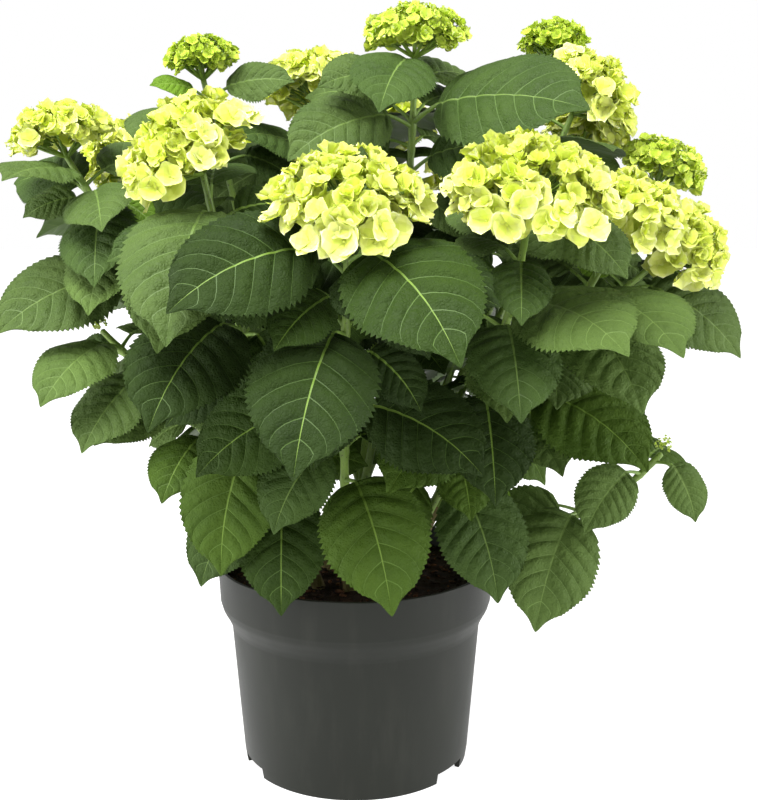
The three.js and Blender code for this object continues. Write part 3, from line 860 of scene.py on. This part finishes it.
def ring_faces(rings, sides):
    """Quads between rings of equal count, one ring after another."""
    i, j = np.meshgrid(np.arange(rings - 1), np.arange(sides), indexing="ij")
    a, b = i * sides + j, i * sides + (j + 1) % sides
    return np.stack([a, b, b + sides, a + sides], -1).reshape(-1, 4)


def tube(heap, points, radii, sides, relief=1):
    """A closed tube; relief scales its radius, by ring and side."""
    points = np.asarray(points, dtype=float)
    ahead = np.gradient(points, axis=0)
    ahead /= np.linalg.norm(ahead, axis=1)[:, None]
    side = np.cross(ahead, (0.36, 0.8, 0.11))
    side /= np.linalg.norm(side, axis=1)[:, None]
    other = np.cross(ahead, side)
    turn = np.arange(sides) / sides * 2 * np.pi
    out = np.asarray(radii, dtype=float)[:, None] * np.ones(sides) * relief
    rings = points[:, None] + out[..., None] * (
        np.cos(turn)[None, :, None] * side[:, None] + np.sin(turn)[None, :, None] * other[:, None]
    )
    start = points[0] - ahead[0] * radii[0] * 0.3
    end = points[-1] + ahead[-1] * radii[-1] * 0.5
    first = heap.add(np.concatenate([rings.reshape(-1, 3), [start, end]]))
    heap.sew(first, ring_faces(len(points), sides), 0)
    count = len(points) * sides
    j = np.arange(sides)
    after = (j + 1) % sides
    last = count - sides
    heap.sew(first, np.stack([np.full(sides, count), after, j], -1), 0)
    heap.sew(first, np.stack([np.full(sides, count + 1), last + j, last + after], -1), 0)


# ---- leaf blades ----
SIDE_VEINS = (0.045, 0.15, 0.27, 0.395, 0.52, 0.645, 0.77)  # where each leaves the midrib
VEIN_HALF = 0.0034
VEIN_TAPER = 0.78
VEIN_SWEEP = 0.34
TOOTH_DEPTH = 0.095
TOOTH_REACH = 0.004
SHOULDER = 0.07
DRAWN_IN = 0.36
QUILT = (0.024, 0.036)  # shares of the blade's length
WAVES = (1.5, 3.8)  # mm at the edge
GROOVE = 0.45
UPPER_RIB = 1.1
UNDER_RIB = 1.3
UNDER_PUFF = 0.3
HALF_COLUMNS = np.array([0, 0.16, 0.34, 0.52, 0.7, 0.87, 1])
COLUMNS = np.concatenate([-HALF_COLUMNS[::-1], HALF_COLUMNS])
UNDER_COLUMNS = np.array([-0.87, -0.52, 0, 0, 0.52, 0.87])
UNDER_THICKNESS = np.array([0.35, 0.6, 1.0, 1.0, 0.6, 0.35])
BLADE, VEIN, UNDER, RIB = 0, 1, 2, 3


def blade_rows():
    """Rows that follow the side veins: start on the midrib, edge of a vein, place between, tooth."""
    rows = [(share, 0, 0.3 * n, 0) for n, share in enumerate((0.006, 0.018, 0.032))]
    ends = [*SIDE_VEINS, 1.0]
    for k, share in enumerate(SIDE_VEINS):
        rows.append((share, -1, 0, 1))
        rows.append((share, 1, 0, 1))
        inner = 7 if k < len(SIDE_VEINS) - 1 else 9
        for n in range(1, inner + 1):
            t = n / (inner + 1)
            rows.append((share + (ends[k + 1] - share) * t, 0, t, 1 - n % 2))
    return np.array(rows).T


def hump(u, start, length):
    """A smooth rise from 0 at start to 1 half way along, and down again."""
    return np.sin(np.pi * np.clip((u - start) / length, 0, 1))


def surface(leaf, u, v):
    """Points of the blade, and the way its upper face looks."""
    bend, rise = math.radians(leaf["bend"]), math.radians(leaf["rise"])
    a, roll = math.radians(leaf["azimuth"]), math.radians(leaf["roll"])
    slope = rise - bend * u
    forward = leaf["length"] * (math.sin(rise) - np.sin(slope)) / bend
    up = leaf["length"] * (np.cos(slope) - math.cos(rise)) / bend
    one = np.ones_like(u)
    point = np.stack([forward * math.cos(a), forward * math.sin(a), up], -1) + leaf["base"]
    ahead = np.stack([math.cos(a) * np.cos(slope), math.sin(a) * np.cos(slope), np.sin(slope)], -1)
    level = np.stack([-math.sin(a) * one, math.cos(a) * one, 0 * one], -1)
    side = level * math.cos(roll) + np.cross(ahead, level) * math.sin(roll)
    normal = np.cross(ahead, side)
    shoulder = 1 + SHOULDER * hump(u, 0.42, 0.48)
    drawn_in = 1 - DRAWN_IN * hump(u, 0.84, 0.2)
    half = leaf["width"] / 2 * breadth(np.clip(u, 0, 1)) * shoulder * drawn_in * v
    lift = fold_lift(half, leaf["width"])
    return point + side * half[..., None] + normal * lift[..., None], normal


def blade_sheet(leaf, columns, rib, puffed):
    """One face of the blade as a grid of points, the way it looks and how far each point stands out.

    rib is half the midrib's width in mm, and puffed is how full the quilting is.
    """
    start, edge, between, tooth = blade_rows()
    seed = leaf["number"]
    share = np.abs(columns)[None, :]
    v = share * np.ones((len(start), 1))
    sweep = VEIN_SWEEP * np.sin(np.pi * start) ** 0.7 * (1 - start) ** 0.3
    u = start[:, None] + sweep[:, None] * (0.7 * v + 0.3 * v * v)
    u = u + (edge * VEIN_HALF)[:, None] * (1 - VEIN_TAPER * v)
    jag = TOOTH_DEPTH * np.clip((u - 0.06) / 0.1, 0, 1) * (1 - 0.5 * u)
    v = np.where(v == 1, 1 - (1 - tooth[:, None]) * jag, v)
    u = np.where(share == 1, u + TOOTH_REACH * tooth[:, None], u)
    half = leaf["width"] / 2 * np.clip(breadth(np.clip(u, 0.001, 0.995)), 0.05, 1)
    v = np.where(share == 0, np.minimum(rib * (1.02 - u) / half, 0.2), v)
    turned = np.where(np.arange(len(columns)) < len(columns) / 2, -1, 1)[None, :]
    points, normal = surface(leaf, np.clip(u, 0, 0.998), v * turned)
    quilt = spread(seed, 1, 21, *QUILT) * leaf["length"]
    swell = puffed * np.sin(np.pi * between)[:, None] ** 0.85 * np.sin(np.pi * v**0.8) ** 0.6
    waves = spread(seed, 2, 21, *WAVES)
    ripple = np.sin(2 * np.pi * (1.7 * u + chance(seed, 3, 21) + 0.35 * turned)) * v**2.5
    groove = -GROOVE * (1 - np.minimum(v / 0.2, 1))
    fade = np.clip(1.15 - u, 0, 1) * np.clip(u / 0.08, 0.3, 1)
    return points, normal, quilt * swell * fade + waves * ripple * fade + groove * fade


def blade(heap, leaf):
    """A closed blade: its upper face, its under face, and a fan at each end."""
    start, edge, _, _ = blade_rows()
    rows, wide, narrow = len(start), len(COLUMNS), len(UNDER_COLUMNS)
    upper, normal, lift = blade_sheet(leaf, COLUMNS, UPPER_RIB, 1)
    upper = upper + normal * lift[..., None]
    lower, normal, lift = blade_sheet(leaf, UNDER_COLUMNS, UNDER_RIB, UNDER_PUFF)
    thick = UNDER_THICKNESS[None, :] * np.clip((1 - start[:, None]) * 4, 0.1, 1)
    lower = lower + normal * (lift - thick)[..., None]
    ends = [surface(leaf, np.array([u]), np.array([0.0]))[0] for u in (0.0, 0.9995)]
    first = heap.add(np.concatenate([upper.reshape(-1, 3), lower.reshape(-1, 3), *ends]))
    root = rows * (wide + narrow)
    end = root + 1
    top = np.arange(rows * wide).reshape(rows, wide)
    below = rows * wide + np.arange(rows * narrow).reshape(rows, narrow)
    below = np.concatenate([top[:, :1], below, top[:, -1:]], 1)
    on_vein = (edge[:-1] == -1)[:, None]
    for grid, skin, flip in ((top, BLADE, False), (below, UNDER, True)):
        columns = grid.shape[1]
        quads = np.stack([grid[:-1, :-1], grid[:-1, 1:], grid[1:, 1:], grid[1:, :-1]], -1)
        if not flip:
            quads = quads[..., ::-1]
        on_midrib = (np.arange(columns - 1) == columns // 2 - 1)[None, :]
        finish = np.where(on_midrib, VEIN, np.where(on_vein, RIB, skin))
        heap.sew(first, quads.reshape(-1, 4), np.broadcast_to(finish, quads.shape[:2]).ravel())
        fan = []
        for n in range(columns - 1):
            near, far = grid[0, n : n + 2], grid[-1, n : n + 2]
            fan.append((root, near[1], near[0]) if flip else (root, near[0], near[1]))
            fan.append((end, far[0], far[1]) if flip else (end, far[1], far[0]))
        heap.sew(first, fan, skin)


# Some of these greens are light and shade painted into the leaves: the darkest is painted shade over the
# middle of the plant, and the lighter, greyer ones are painted light and sheen on outer and top leaves.
LEAF_TONES = {  # the blade's two greens, its side veins' two greens, and how dull it is
    "deep_shade": ((27, 43, 7), (34, 51, 10), ((56, 78, 30), (66, 88, 38)), 0.62),
    "mid": ((34, 52, 9), (41, 60, 12), ((62, 85, 33), (72, 95, 41)), 0.6),
    "warm": ((54, 76, 18), (62, 84, 22), ((76, 101, 38), (86, 111, 46)), 0.6),
    "side_lit": ((67, 87, 37), (78, 99, 45), ((90, 113, 56), (100, 123, 64)), 0.58),
    "cool": ((47, 66, 24), (57, 77, 30), ((68, 90, 42), (78, 100, 50)), 0.56),
    "grey": ((61, 80, 34), (72, 91, 42), ((80, 101, 52), (90, 111, 60)), 0.54),
    "young": ((76, 106, 24), (90, 120, 30), ((106, 138, 48), (116, 148, 56)), 0.58),
}
DULL_MIDRIBS = ("side_lit", "cool", "grey")
LEAF_CREASE = 95
YOUNG_LENGTH = 44
# Heights and reach in mm that place painted sheen on top leaves, painted light on outer leaves and
# painted shade over the middle.
CROWN_HEIGHT = 470
SKIRT_TOP = 330
LOW_HEIGHT = 320
OUTER_X = 105


def leaf_tone_with_painted_light(leaf):
    """Which green a leaf takes, with light and shade painted in: those over the middle deep as painted
    shade, outer ones lighter as painted light from the sides, top ones greyer as a painted sheen from
    above.
    """
    x, _, height = leaf["base"]
    luck = chance(leaf["number"], 7, 7)
    if leaf["length"] < YOUNG_LENGTH:
        return "young"
    # top leaves: lighter, greyer greens as a painted sheen from above
    if height > CROWN_HEIGHT:
        return "grey" if luck < 0.7 else "cool"
    # outer leaves: lighter greens as painted light from the sides; the low ones are also lightened as
    # painted light against the shade of the leaves above
    if abs(x) > OUTER_X and height > SKIRT_TOP:
        tones = ("cool", "grey", "side_lit", "grey")
    elif abs(x) > OUTER_X:
        tones = ("side_lit", "warm", "side_lit", "side_lit")
    # middle leaves up high: darker greens as painted shade under the crown
    elif height > LOW_HEIGHT:
        tones = ("deep_shade", "mid", "mid", "deep_shade")
    else:
        tones = ("mid", "warm", "warm", "cool")
    return tones[int(luck * 4)]


def make_leaves(shoots):
    bright = vein_finish("leaf_midrib", (92, 118, 44), (106, 132, 54))
    dull = vein_finish("leaf_midrib_dull", (86, 108, 50), (96, 118, 58))
    under = vein_finish("leaf_underside", (72, 94, 44), (84, 106, 54))
    heaps = {tone: Heap() for tone in LEAF_TONES}
    for shoot in shoots:
        for leaf in shoot["leaves"]:
            blade(heaps[leaf_tone_with_painted_light(leaf)], leaf)
    # Each green becomes its own piece and blade finish, the painted light and shade greens among them.
    for tone, (low, high, ribs, gloss) in LEAF_TONES.items():
        skin = blade_finish(f"leaf_{tone}", low, high, gloss)
        midrib = dull if tone in DULL_MIDRIBS else bright
        rib = vein_finish(f"leaf_rib_{tone}", *ribs)
        heaps[tone].piece(f"leaves_{tone}", [skin, midrib, under, rib], crease=LEAF_CREASE)


# ---- stems ----
def curve_through(start, middle, end, count):
    return [along((start, middle, end), n / (count - 1)) for n in range(count)]


def leaf_stalk(heap, leaf):
    """From the shoot up to the blade, and a little way on under its midrib."""
    base, _, normal = leaf_frame(leaf, 0)
    inner, _, inner_normal = leaf_frame(leaf, 0.07)
    middle = add(mix(leaf["node"], base, 0.5), (0, 0, 1.2))
    line = curve_through(leaf["node"], middle, sub(base, mul(normal, 0.6)), len(STALK_RADII) - 1)
    line.append(sub(inner, mul(inner_normal, 1.2)))
    tube(heap, line, [radius * (0.6 + leaf["length"] / 280) for radius in STALK_RADII], 8)


def make_stems(shoots):
    stems, stalk_heap = Heap(), Heap()
    for shoot in shoots:
        path = shoot["path"]
        length = length_of(path)
        count = max(12, int(length / 7))
        radii = []
        for n in range(count):
            t = n / (count - 1)
            joints = [(t - leaf["share"]) * length / JOINT_LENGTH for leaf in shoot["leaves"]]
            swell = 1 + sum(JOINT_SWELL * math.exp(-(joint**2)) for joint in joints)
            radius = SHOOT_ROOT_RADIUS + (SHOOT_TIP_RADIUS - SHOOT_ROOT_RADIUS) * t
            radii.append(radius * min(swell, JOINT_MOST))
        tube(stems, [along(path, n / (count - 1)) for n in range(count)], radii, 10)
        for leaf in shoot["leaves"]:
            leaf_stalk(stalk_heap, leaf)
    green = stem_finish("stem_green", (92, 118, 42), (114, 140, 56), (46, 42, 28))
    pale = stem_finish("leaf_stalk", (96, 124, 48), (114, 142, 60), (66, 76, 38))
    stems.piece("stems", [green])
    stalk_heap.piece("leaf_stalks", [pale])


def bulge(shares, at, size, length):
    """A swelling of a stem round one place along it."""
    return 1 + size * np.exp(-(((shares - at) / length) ** 2))


def ridge(turn, share, around, up, number):
    """Noise on a cane's bark, finer with higher around and up; number keeps canes apart."""
    return noise.noise(Vector((math.cos(turn) * around, math.sin(turn) * around, share * up + number)))


def make_canes():
    """Each cane from the soil up to its fork, ridged, with a swollen joint part way."""
    canes = Heap()
    sides, rings = 26, 46
    shares = np.linspace(0, 1, rings)
    turns = np.arange(sides) / sides * 2 * np.pi
    for index, (tip, _) in enumerate(MASSES.values()):
        foot = foot_of(tip)
        lean = unit(sub(tip, foot))
        start = sub(foot, mul(lean, CANE_SINK))
        end = add(tip, mul(lean, CANE_OVERLAP))
        radii = CANE_FOOT_RADIUS + (CANE_TIP_RADIUS - CANE_FOOT_RADIUS) * shares
        radii = radii * bulge(shares, spread(index, 4, 4, 0.45, 0.7), 0.16, 0.04)
        radii = radii * bulge(shares, 0.96, 0.2, 0.06)
        bark = np.array([
            [
                1 + 0.09 * ridge(a, t, 2.6, 3, index * 9) + 0.03 * ridge(a, t, 6, 14, index * 5)
                for a in turns
            ]
            for t in shares
        ])
        tube(canes, [mix(start, end, share) for share in shares], radii, sides, bark)
    canes.piece("canes", [bark_finish()], "cane_bark", CANE_NODES)


# ---- flower heads ----
def sepal_template(across, stations):
    """One sepal: its (along, across) rows, its faces, those at its point, and each face's paler tint."""
    rows = [(u, v) for u in stations for v in across]
    count = len(across)
    faces, edges = [], []
    for i in range(len(stations) - 1):
        for j in range(count - 1):
            a = i * count + j
            faces.append((a, a + count, a + count + 1, a + 1))
            edges.append(i + (count > 3 and j in (0, count - 2)))
    tip = len(rows)
    last = tip - count
    fan = [(last + j, tip, last + j + 1) for j in range(count - 1)]
    return np.array([*rows, (1.0, 0.0)]), np.array(faces), np.array(fan), np.array(edges)


BROAD = sepal_template((-1, -0.38, 0.38, 1), (0.04, 0.34, 0.64, 0.87))
SMALL = sepal_template((-1, 0, 1), (0.06, 0.55))
SEPAL_STATIONS = (0, 0.04, 0.2, 0.34, 0.5, 0.64, 0.87, 1)
SEPAL_BREADTHS = (0.14, 0.32, 0.84, 1.04, 1.0, 0.8, 0.3, 0.0)
FIVE_SEPALS = 0.4  # the share of broad florets that have five
BREADTH_OF_FOUR = 0.6
BREADTH_OF_FIVE = 0.52
REFLEX = 0.9
RUFFLE = 0.12
EYE_RADIUS = 0.085
EYE_HEIGHT = 0.15
OPEN_TINTS = (
    (184, 201, 68), (193, 209, 75), (201, 214, 83), (208, 220, 94), (214, 224, 108), (220, 228, 126),
    (227, 233, 150), (235, 238, 178),
)
GREEN_TINTS = (
    (165, 189, 57), (173, 196, 62), (180, 202, 68), (187, 208, 75), (195, 213, 84), (203, 220, 94),
    (211, 227, 107), (219, 231, 123),
)
GOLDEN_TURN = 2.399963
OUTER, INNER = 40, 50
# the head's two layers of florets: how low each goes, its share of the dome, florets' size and paleness
LAYERS = {OUTER: (0.14, 1.0, 1.0, 1.0), INNER: (0.16, 0.82, 0.95, 0.85)}
OPEN_BLOOM = 0.6
BROAD_BLOOM = 0.3
BUD_FLORETS = 16
BUD_SIZE = 5
YOUNG_SIZE = 10
GROWN_SIZE = 20  # more for a head in full bloom
COVER = 2.3
SUNK = 0.3
RIM_STALKS = 9
RIM_STALK_RADII = (1.8, 1.5, 1.3, 1.1, 0.8)
MIDDLE_STALK_RADII = (2.2, 1.8, 1.2)
FLORET_STALK_RADII = (0.75, 0.6, 0.5)


def floret(heap, place, facing, size, cup, seed, template, tone):
    """Four or five sepals round a small eye, each an arc that rises from it and cups across."""
    shape, faces, fan, edges = template
    axis = unit(facing)
    basis = np.array([*squared(axis, (0.37, 0.61, 0.7)), axis])
    count = 5 if chance(seed, 1, 31) < FIVE_SEPALS and template is BROAD else 4
    spin = spread(seed, 2, 31, 0, math.tau)
    u, v = shape[:, 0], shape[:, 1]
    full = BREADTH_OF_FOUR if count == 4 else BREADTH_OF_FIVE
    y = np.interp(u, SEPAL_STATIONS, SEPAL_BREADTHS) * full * v
    for n in range(count):
        grow = spread(seed, n, 32, 0.88, 1.12) * size / 2
        lift = cup * spread(seed, n, 33, 0.75, 1.25) + 0.1 * (n % 2)
        start, bend = lift * 0.55, lift * 0.9
        slope = start + bend * u
        x = (np.sin(slope) - math.sin(start)) / bend + 0.02
        z = (math.cos(start) - np.cos(slope)) / bend + 0.03 * (n % 2)
        z = z + (0.22 + 0.5 * cup) * y * y * 1.3 - REFLEX * np.clip(u - 0.6, 0, 1) ** 2
        z = z + RUFFLE * v * v * np.sin(u * 8 + spread(seed, n, 38, 0, math.tau))
        x = x - 0.35 * cup * y * y
        a = spin + n * math.tau / count + spread(seed, n, 34, -0.14, 0.14)
        turned = np.stack([x * math.cos(a) - y * math.sin(a), x * math.sin(a) + y * math.cos(a), z], -1)
        first = heap.add(turned @ basis * grow + place)
        heap.sew(first, faces, tone + edges)
        heap.sew(first, fan, tone + edges.max() + 1)
    ring = np.array([(math.cos(k), math.sin(k), 0) for k in np.arange(5) / 5 * math.tau])
    eye = np.concatenate([ring * EYE_RADIUS + (0, 0, 0.03), [(0, 0, EYE_HEIGHT)]]) @ basis * size / 2
    heap.sew(heap.add(eye + place), [(k, (k + 1) % 5, 5) for k in range(5)], tone)


def dome_points(shoot, basis, count, lowest, scale, salt):
    """Places spread evenly over a head's dome, each with the way it faces."""
    number = shoot["id"]
    axis = basis[0]
    centre = sub(basis[3], mul(axis, shoot["width"] * 0.12))
    sink = 0.02 + 0.2 * (1 - shoot["bloom"])
    spots = []
    for n in range(count):
        rise = 1 - (n + 0.5) / count * (1 - lowest) + spread(number, n, salt, -0.05, 0.05)
        latitude = math.asin(max(-0.99, min(0.99, rise)))
        around = n * GOLDEN_TURN + spread(number, n, salt + 1, -0.3, 0.3)
        out = scale * spread(number, n, salt + 2, 0.86, 1.05)
        spot = head_point(shoot, basis, around, latitude, out)
        spot = sub(spot, mul(axis, shoot["depth"] * (sink + (1 - out) * 0.8)))
        facing = unit(sub(spot, centre))
        jitter = heading(spread(number, n, salt + 3, 0, 360), spread(number, n, salt + 4, -60, 60))
        spots.append((spot, unit(add(add(facing, mul(jitter, 0.5)), (0, 0, 0.2))), latitude, n))
    return spots


def fan_stalks(heap, shoot, basis):
    """The stalks that fan out from the shoot's end to the rim of the head."""
    end = shoot["path"][2]
    for k in range(RIM_STALKS):
        around = (k + 0.5 * chance(shoot["id"], k, 71)) / RIM_STALKS * math.tau
        rim_point = head_point(shoot, basis, around, 0.05, 0.7)
        knee = add(mix(end, rim_point, 0.42), mul(basis[0], -2))
        tube(heap, curve_through(end, knee, rim_point, 5), RIM_STALK_RADII, 6)
    tube(heap, [end, mix(end, basis[3], 0.6), basis[3]], MIDDLE_STALK_RADII, 8)


def flower_head(heap, branches, shoot):
    """Florets over the dome, outer and lower ones wider, flatter and paler, and the stalks below."""
    bloom, bud, end = shoot["bloom"], is_bud(shoot), shoot["path"][2]
    basis = head_basis(shoot)
    template = BROAD if bloom >= BROAD_BLOOM else SMALL
    size = BUD_SIZE if bud else YOUNG_SIZE + GROWN_SIZE * bloom
    area = math.pi * shoot["width"] * (shoot["width"] / 2 + 2 * shoot["depth"]) / 3
    count = BUD_FLORETS if bud else round(COVER * area / (math.pi / 4 * (size * 0.84) ** 2))
    for salt, (lowest, scale, smaller, pale_share) in LAYERS.items():
        for spot, facing, latitude, n in dome_points(shoot, basis, count, lowest, scale, salt):
            seed = shoot["id"] * 1000 + n + salt * 7
            rim = 1 - max(0, math.sin(latitude))
            wide = size * (0.72 + 0.34 * rim) * smaller * spread(seed, 0, 35, 0.86, 1.12)
            cup = 0.86 - 0.38 * rim * bloom + spread(seed, 0, 36, -0.25, 0.2)
            pale = (0.38 + 0.62 * rim) * bloom * pale_share + spread(seed, 0, 37, -0.2, 0.3)
            tone = int(min(max(pale * 4, 0), 3.99))
            sunk = sub(spot, mul(facing, wide * SUNK))
            floret(heap, sunk, facing, wide, cup, seed, template, tone)
            if salt == OUTER and not bud:
                fork = mix(end, mix(basis[3], spot, 0.55), 0.62)
                tube(branches, [fork, mix(fork, sunk, 0.6), sunk], FLORET_STALK_RADII, 4)
    if not bud:
        fan_stalks(branches, shoot, basis)


def make_heads(shoots):
    blossoms, green_heads, branches = Heap(), Heap(), Heap()
    for shoot in shoots:
        flower_head(blossoms if shoot["bloom"] >= OPEN_BLOOM else green_heads, branches, shoot)
    full = [petal_finish(f"sepal_{n}", tint) for n, tint in enumerate(OPEN_TINTS)]
    young = [petal_finish(f"young_{n}", tint) for n, tint in enumerate(GREEN_TINTS)]
    blossoms.piece("blossoms_open", full)
    green_heads.piece("blossoms_green", young)
    stalk = stem_finish("head_stalk", (104, 132, 46), (122, 150, 56), (80, 88, 40))
    branches.piece("head_branches", [stalk])


# ---- pot and compost ----
def arc(cx, cz, radius, start, end, steps):
    """Profile points on an arc, from one angle to another in degrees."""
    return [
        (cx + radius * math.cos(math.radians(a)), cz + radius * math.sin(math.radians(a)))
        for a in np.linspace(start, end, steps)
    ]


def spin_profile(mesh, profile, steps):
    """A closed profile of (radius, height) turned round the pot's axis."""
    line = [mesh.verts.new((r * MM, 0, z * MM)) for r, z in profile]
    edges = [mesh.edges.new(pair) for pair in zip(line, line[1:])]
    bmesh.ops.spin(
        mesh, geom=line + edges, cent=(0, 0, 0), axis=(0, 0, 1), angle=math.tau, steps=steps,
        use_merge=True,
    )
    bmesh.ops.remove_doubles(mesh, verts=mesh.verts, dist=0.00002)
    bmesh.ops.recalc_face_normals(mesh, faces=mesh.faces)


def flare(inset, lift):
    """The rim band's way out of the wall, as a fair curve through FLARE."""
    shares, rises = np.array([(0, 0), *FLARE]).T
    fine = np.linspace(0, rises[-1], 13)[1:]
    eased = np.interp(fine, rises, shares) + FLARE_EASE * np.sin(fine / rises[-1] * math.tau)
    step = RIM_RADIUS - WALL_TOP_RADIUS
    return [(WALL_TOP_RADIUS + s * step - inset, WALL_TOP + rise + lift) for s, rise in zip(eased, fine)]


def finished_mesh(mesh, name):
    data = bpy.data.meshes.new(name)
    mesh.to_mesh(data)
    mesh.free()
    data.shade_smooth()
    return data


def pot_profile():
    """Up the outside from the middle of the underside, over the rim, and down the inside."""
    return [
        (0, 0), (BOSS_RADIUS - 1, 0), (BOSS_RADIUS + BOSS_SLOPE, CHANNEL_TOP),
        (CHANNEL_RADIUS, CHANNEL_TOP), (CHANNEL_FOOT, 0),
        *arc(FOOT_RADIUS - INNER_ROUND, INNER_ROUND, INNER_ROUND, -90, 0, 4),
        (FOOT_RADIUS + FOOT_TAPER, CHANNEL_TOP), (WALL_TOP_RADIUS, WALL_TOP), *flare(0, 0),
        (RIM_RADIUS, POT_HEIGHT - RIM_STRAIGHT),
        *arc(RIM_RADIUS - RIM_ROUND, POT_HEIGHT - RIM_ROUND, RIM_ROUND, 0, 90, 5),
        *arc(RIM_INSIDE + INNER_ROUND, POT_HEIGHT - INNER_ROUND, INNER_ROUND, 90, 180, 4),
        *flare(FLARE_INSET, FLARE_LIFT)[::-1], (WALL_TOP_RADIUS - WALL, WALL_TOP),
        (FOOT_RADIUS - 1, CHANNEL_TOP + FLOOR), (BOSS_RADIUS + BOSS_SLOPE - WALL, CHANNEL_TOP + FLOOR),
        (BOSS_RADIUS - WALL, FLOOR), (0, FLOOR),
    ]


def set_round(mesh, cut, radius, height, turn):
    """Moves a cutter out and up, then round the pot's axis."""
    bmesh.ops.translate(mesh, vec=(radius * MM, 0, height * MM), verts=cut)
    bmesh.ops.rotate(mesh, cent=(0, 0, 0), matrix=Matrix.Rotation(turn, 3, "Z"), verts=cut)


def drain_cutters():
    """Blocks for the notches in the foot, and rods for the drain holes."""
    tools = bmesh.new()
    for azimuth in NOTCHES:
        block = bmesh.ops.create_cube(tools, size=1)["verts"]
        notch = (NOTCH_DEPTH * MM, NOTCH_WIDTH * MM, CHANNEL_TOP * 2 * MM)
        bmesh.ops.scale(tools, vec=notch, verts=block)
        set_round(tools, block, FOOT_RADIUS + NOTCH_OUT, 0, math.radians(azimuth))
    radius = DRAIN_RADIUS * MM
    for n in range(DRAIN_COUNT):
        rod = bmesh.ops.create_cone(
            tools, cap_ends=True, segments=24, radius1=radius, radius2=radius, depth=DRAIN_DEPTH * MM,
        )["verts"]
        set_round(tools, rod, DRAIN_CIRCLE, CHANNEL_TOP, math.tau * (n + 0.5) / DRAIN_COUNT)
    mesh = bpy.data.meshes.new("drain_cutter")
    tools.to_mesh(mesh)
    tools.free()
    return put("drain_cutter", mesh)


def make_pot():
    shell = bmesh.new()
    spin_profile(shell, pot_profile(), POT_STEPS)
    mesh = finished_mesh(shell, "pot_shell")
    pot = place_piece("pot_shell", mesh, [pot_finish()], ["pot"])
    cutter = drain_cutters()
    cut = pot.modifiers.new("drains", "BOOLEAN")
    cut.operation = "DIFFERENCE"
    cut.solver = "EXACT"
    cut.object = cutter
    whole = bpy.data.meshes.new_from_object(pot.evaluated_get(bpy.context.evaluated_depsgraph_get()))
    pot.modifiers.clear()
    pot.data = whole
    bpy.data.objects.remove(cutter)
    crisp = pot.modifiers.new("crisp", "WEIGHTED_NORMAL")
    crisp.keep_sharp = True


def make_bed(finish):
    """The compost, from the pot's floor up to a lumpy top."""
    inner = WALL_TOP_RADIUS - WALL - SOIL_PLAY
    bottom = FLOOR + SOIL_FLOOR_PLAY
    boss = BOSS_RADIUS - WALL - 0.2
    profile = [
        (0, bottom), (boss, bottom), (boss + BOSS_SLOPE, CHANNEL_TOP + bottom),
        (FOOT_RADIUS - 1 - SOIL_PLAY, CHANNEL_TOP + bottom), (inner, WALL_TOP),
        *flare(FLARE_INSET + SOIL_PLAY, FLARE_LIFT),
        *[(r, SOIL_TOP) for r in np.linspace(RIM_INSIDE - SOIL_RIM_PLAY, 0, SOIL_RINGS)],
    ]
    bed = bmesh.new()
    spin_profile(bed, profile, SOIL_STEPS)
    for vertex in bed.verts:
        if vertex.co.z > (SOIL_TOP - 0.5) * MM:
            place = vertex.co / MM
            lumps = noise.fractal(place * 0.16, 0.9, 2.0, 4) * LUMPS
            swell = noise.noise(place * 0.03) * HEAPING
            vertex.co.z += (lumps + swell) * MM
    place_piece("compost", finished_mesh(bed, "compost"), [finish], ["soil"])


def make_crumbs(finishes):
    """Crumbs and bark chips scattered over the compost; the crumb's shape is a bent ball."""
    ball = bmesh.new()
    bmesh.ops.create_icosphere(ball, subdivisions=1, radius=1)
    ball.verts.ensure_lookup_table()
    points = np.array([tuple(vertex.co) for vertex in ball.verts])
    faces = np.array([[vertex.index for vertex in face.verts] for face in ball.faces])
    ball.free()
    crumbs = Heap()
    for n in range(CRUMBS):
        out = CRUMB_CIRCLE * math.sqrt(chance(n, 1, 61))
        a = spread(n, 2, 61, 0, math.tau)
        size = spread(n, 3, 61, 0.7, 2.3)
        stretch = [spread(n, 4, 61, 0.7, 2.2), spread(n, 5, 61, 0.6, 1.1), spread(n, 6, 61, 0.4, 0.8)]
        turn = spread(n, 7, 61, 0, math.tau)
        x, y, z = (points * np.array(stretch) * size).T
        lump = np.stack([
            x * math.cos(turn) - y * math.sin(turn), x * math.sin(turn) + y * math.cos(turn), z,
        ], -1)
        lump = lump * (1 + 0.2 * np.sin(points @ (5.1, 3.3, 4.2) * 3 + n))[:, None]
        first = crumbs.add(lump + (out * math.cos(a), out * math.sin(a), SOIL_TOP + CRUMB_LIFT))
        crumbs.sew(first, faces, n % 3 // 2)
    crumbs.piece("compost_crumbs", finishes, "compost", ["soil"])


def make_compost():
    dark = soil_finish("compost", (30, 21, 15), (54, 38, 26))
    make_bed(dark)
    make_crumbs([dark, soil_finish("bark_chips", (70, 44, 27), (100, 68, 44))])


def make_floor():
    sheet = bmesh.new()
    bmesh.ops.create_grid(sheet, x_segments=1, y_segments=1, size=6)
    floor = put("floor", finished_mesh(sheet, "floor"))
    floor.data.materials.append(floor_finish())


plant = grow_plant()
make_leaves(plant)
make_stems(plant)
make_canes()
make_heads(plant)
make_pot()
make_compost()
make_floor()
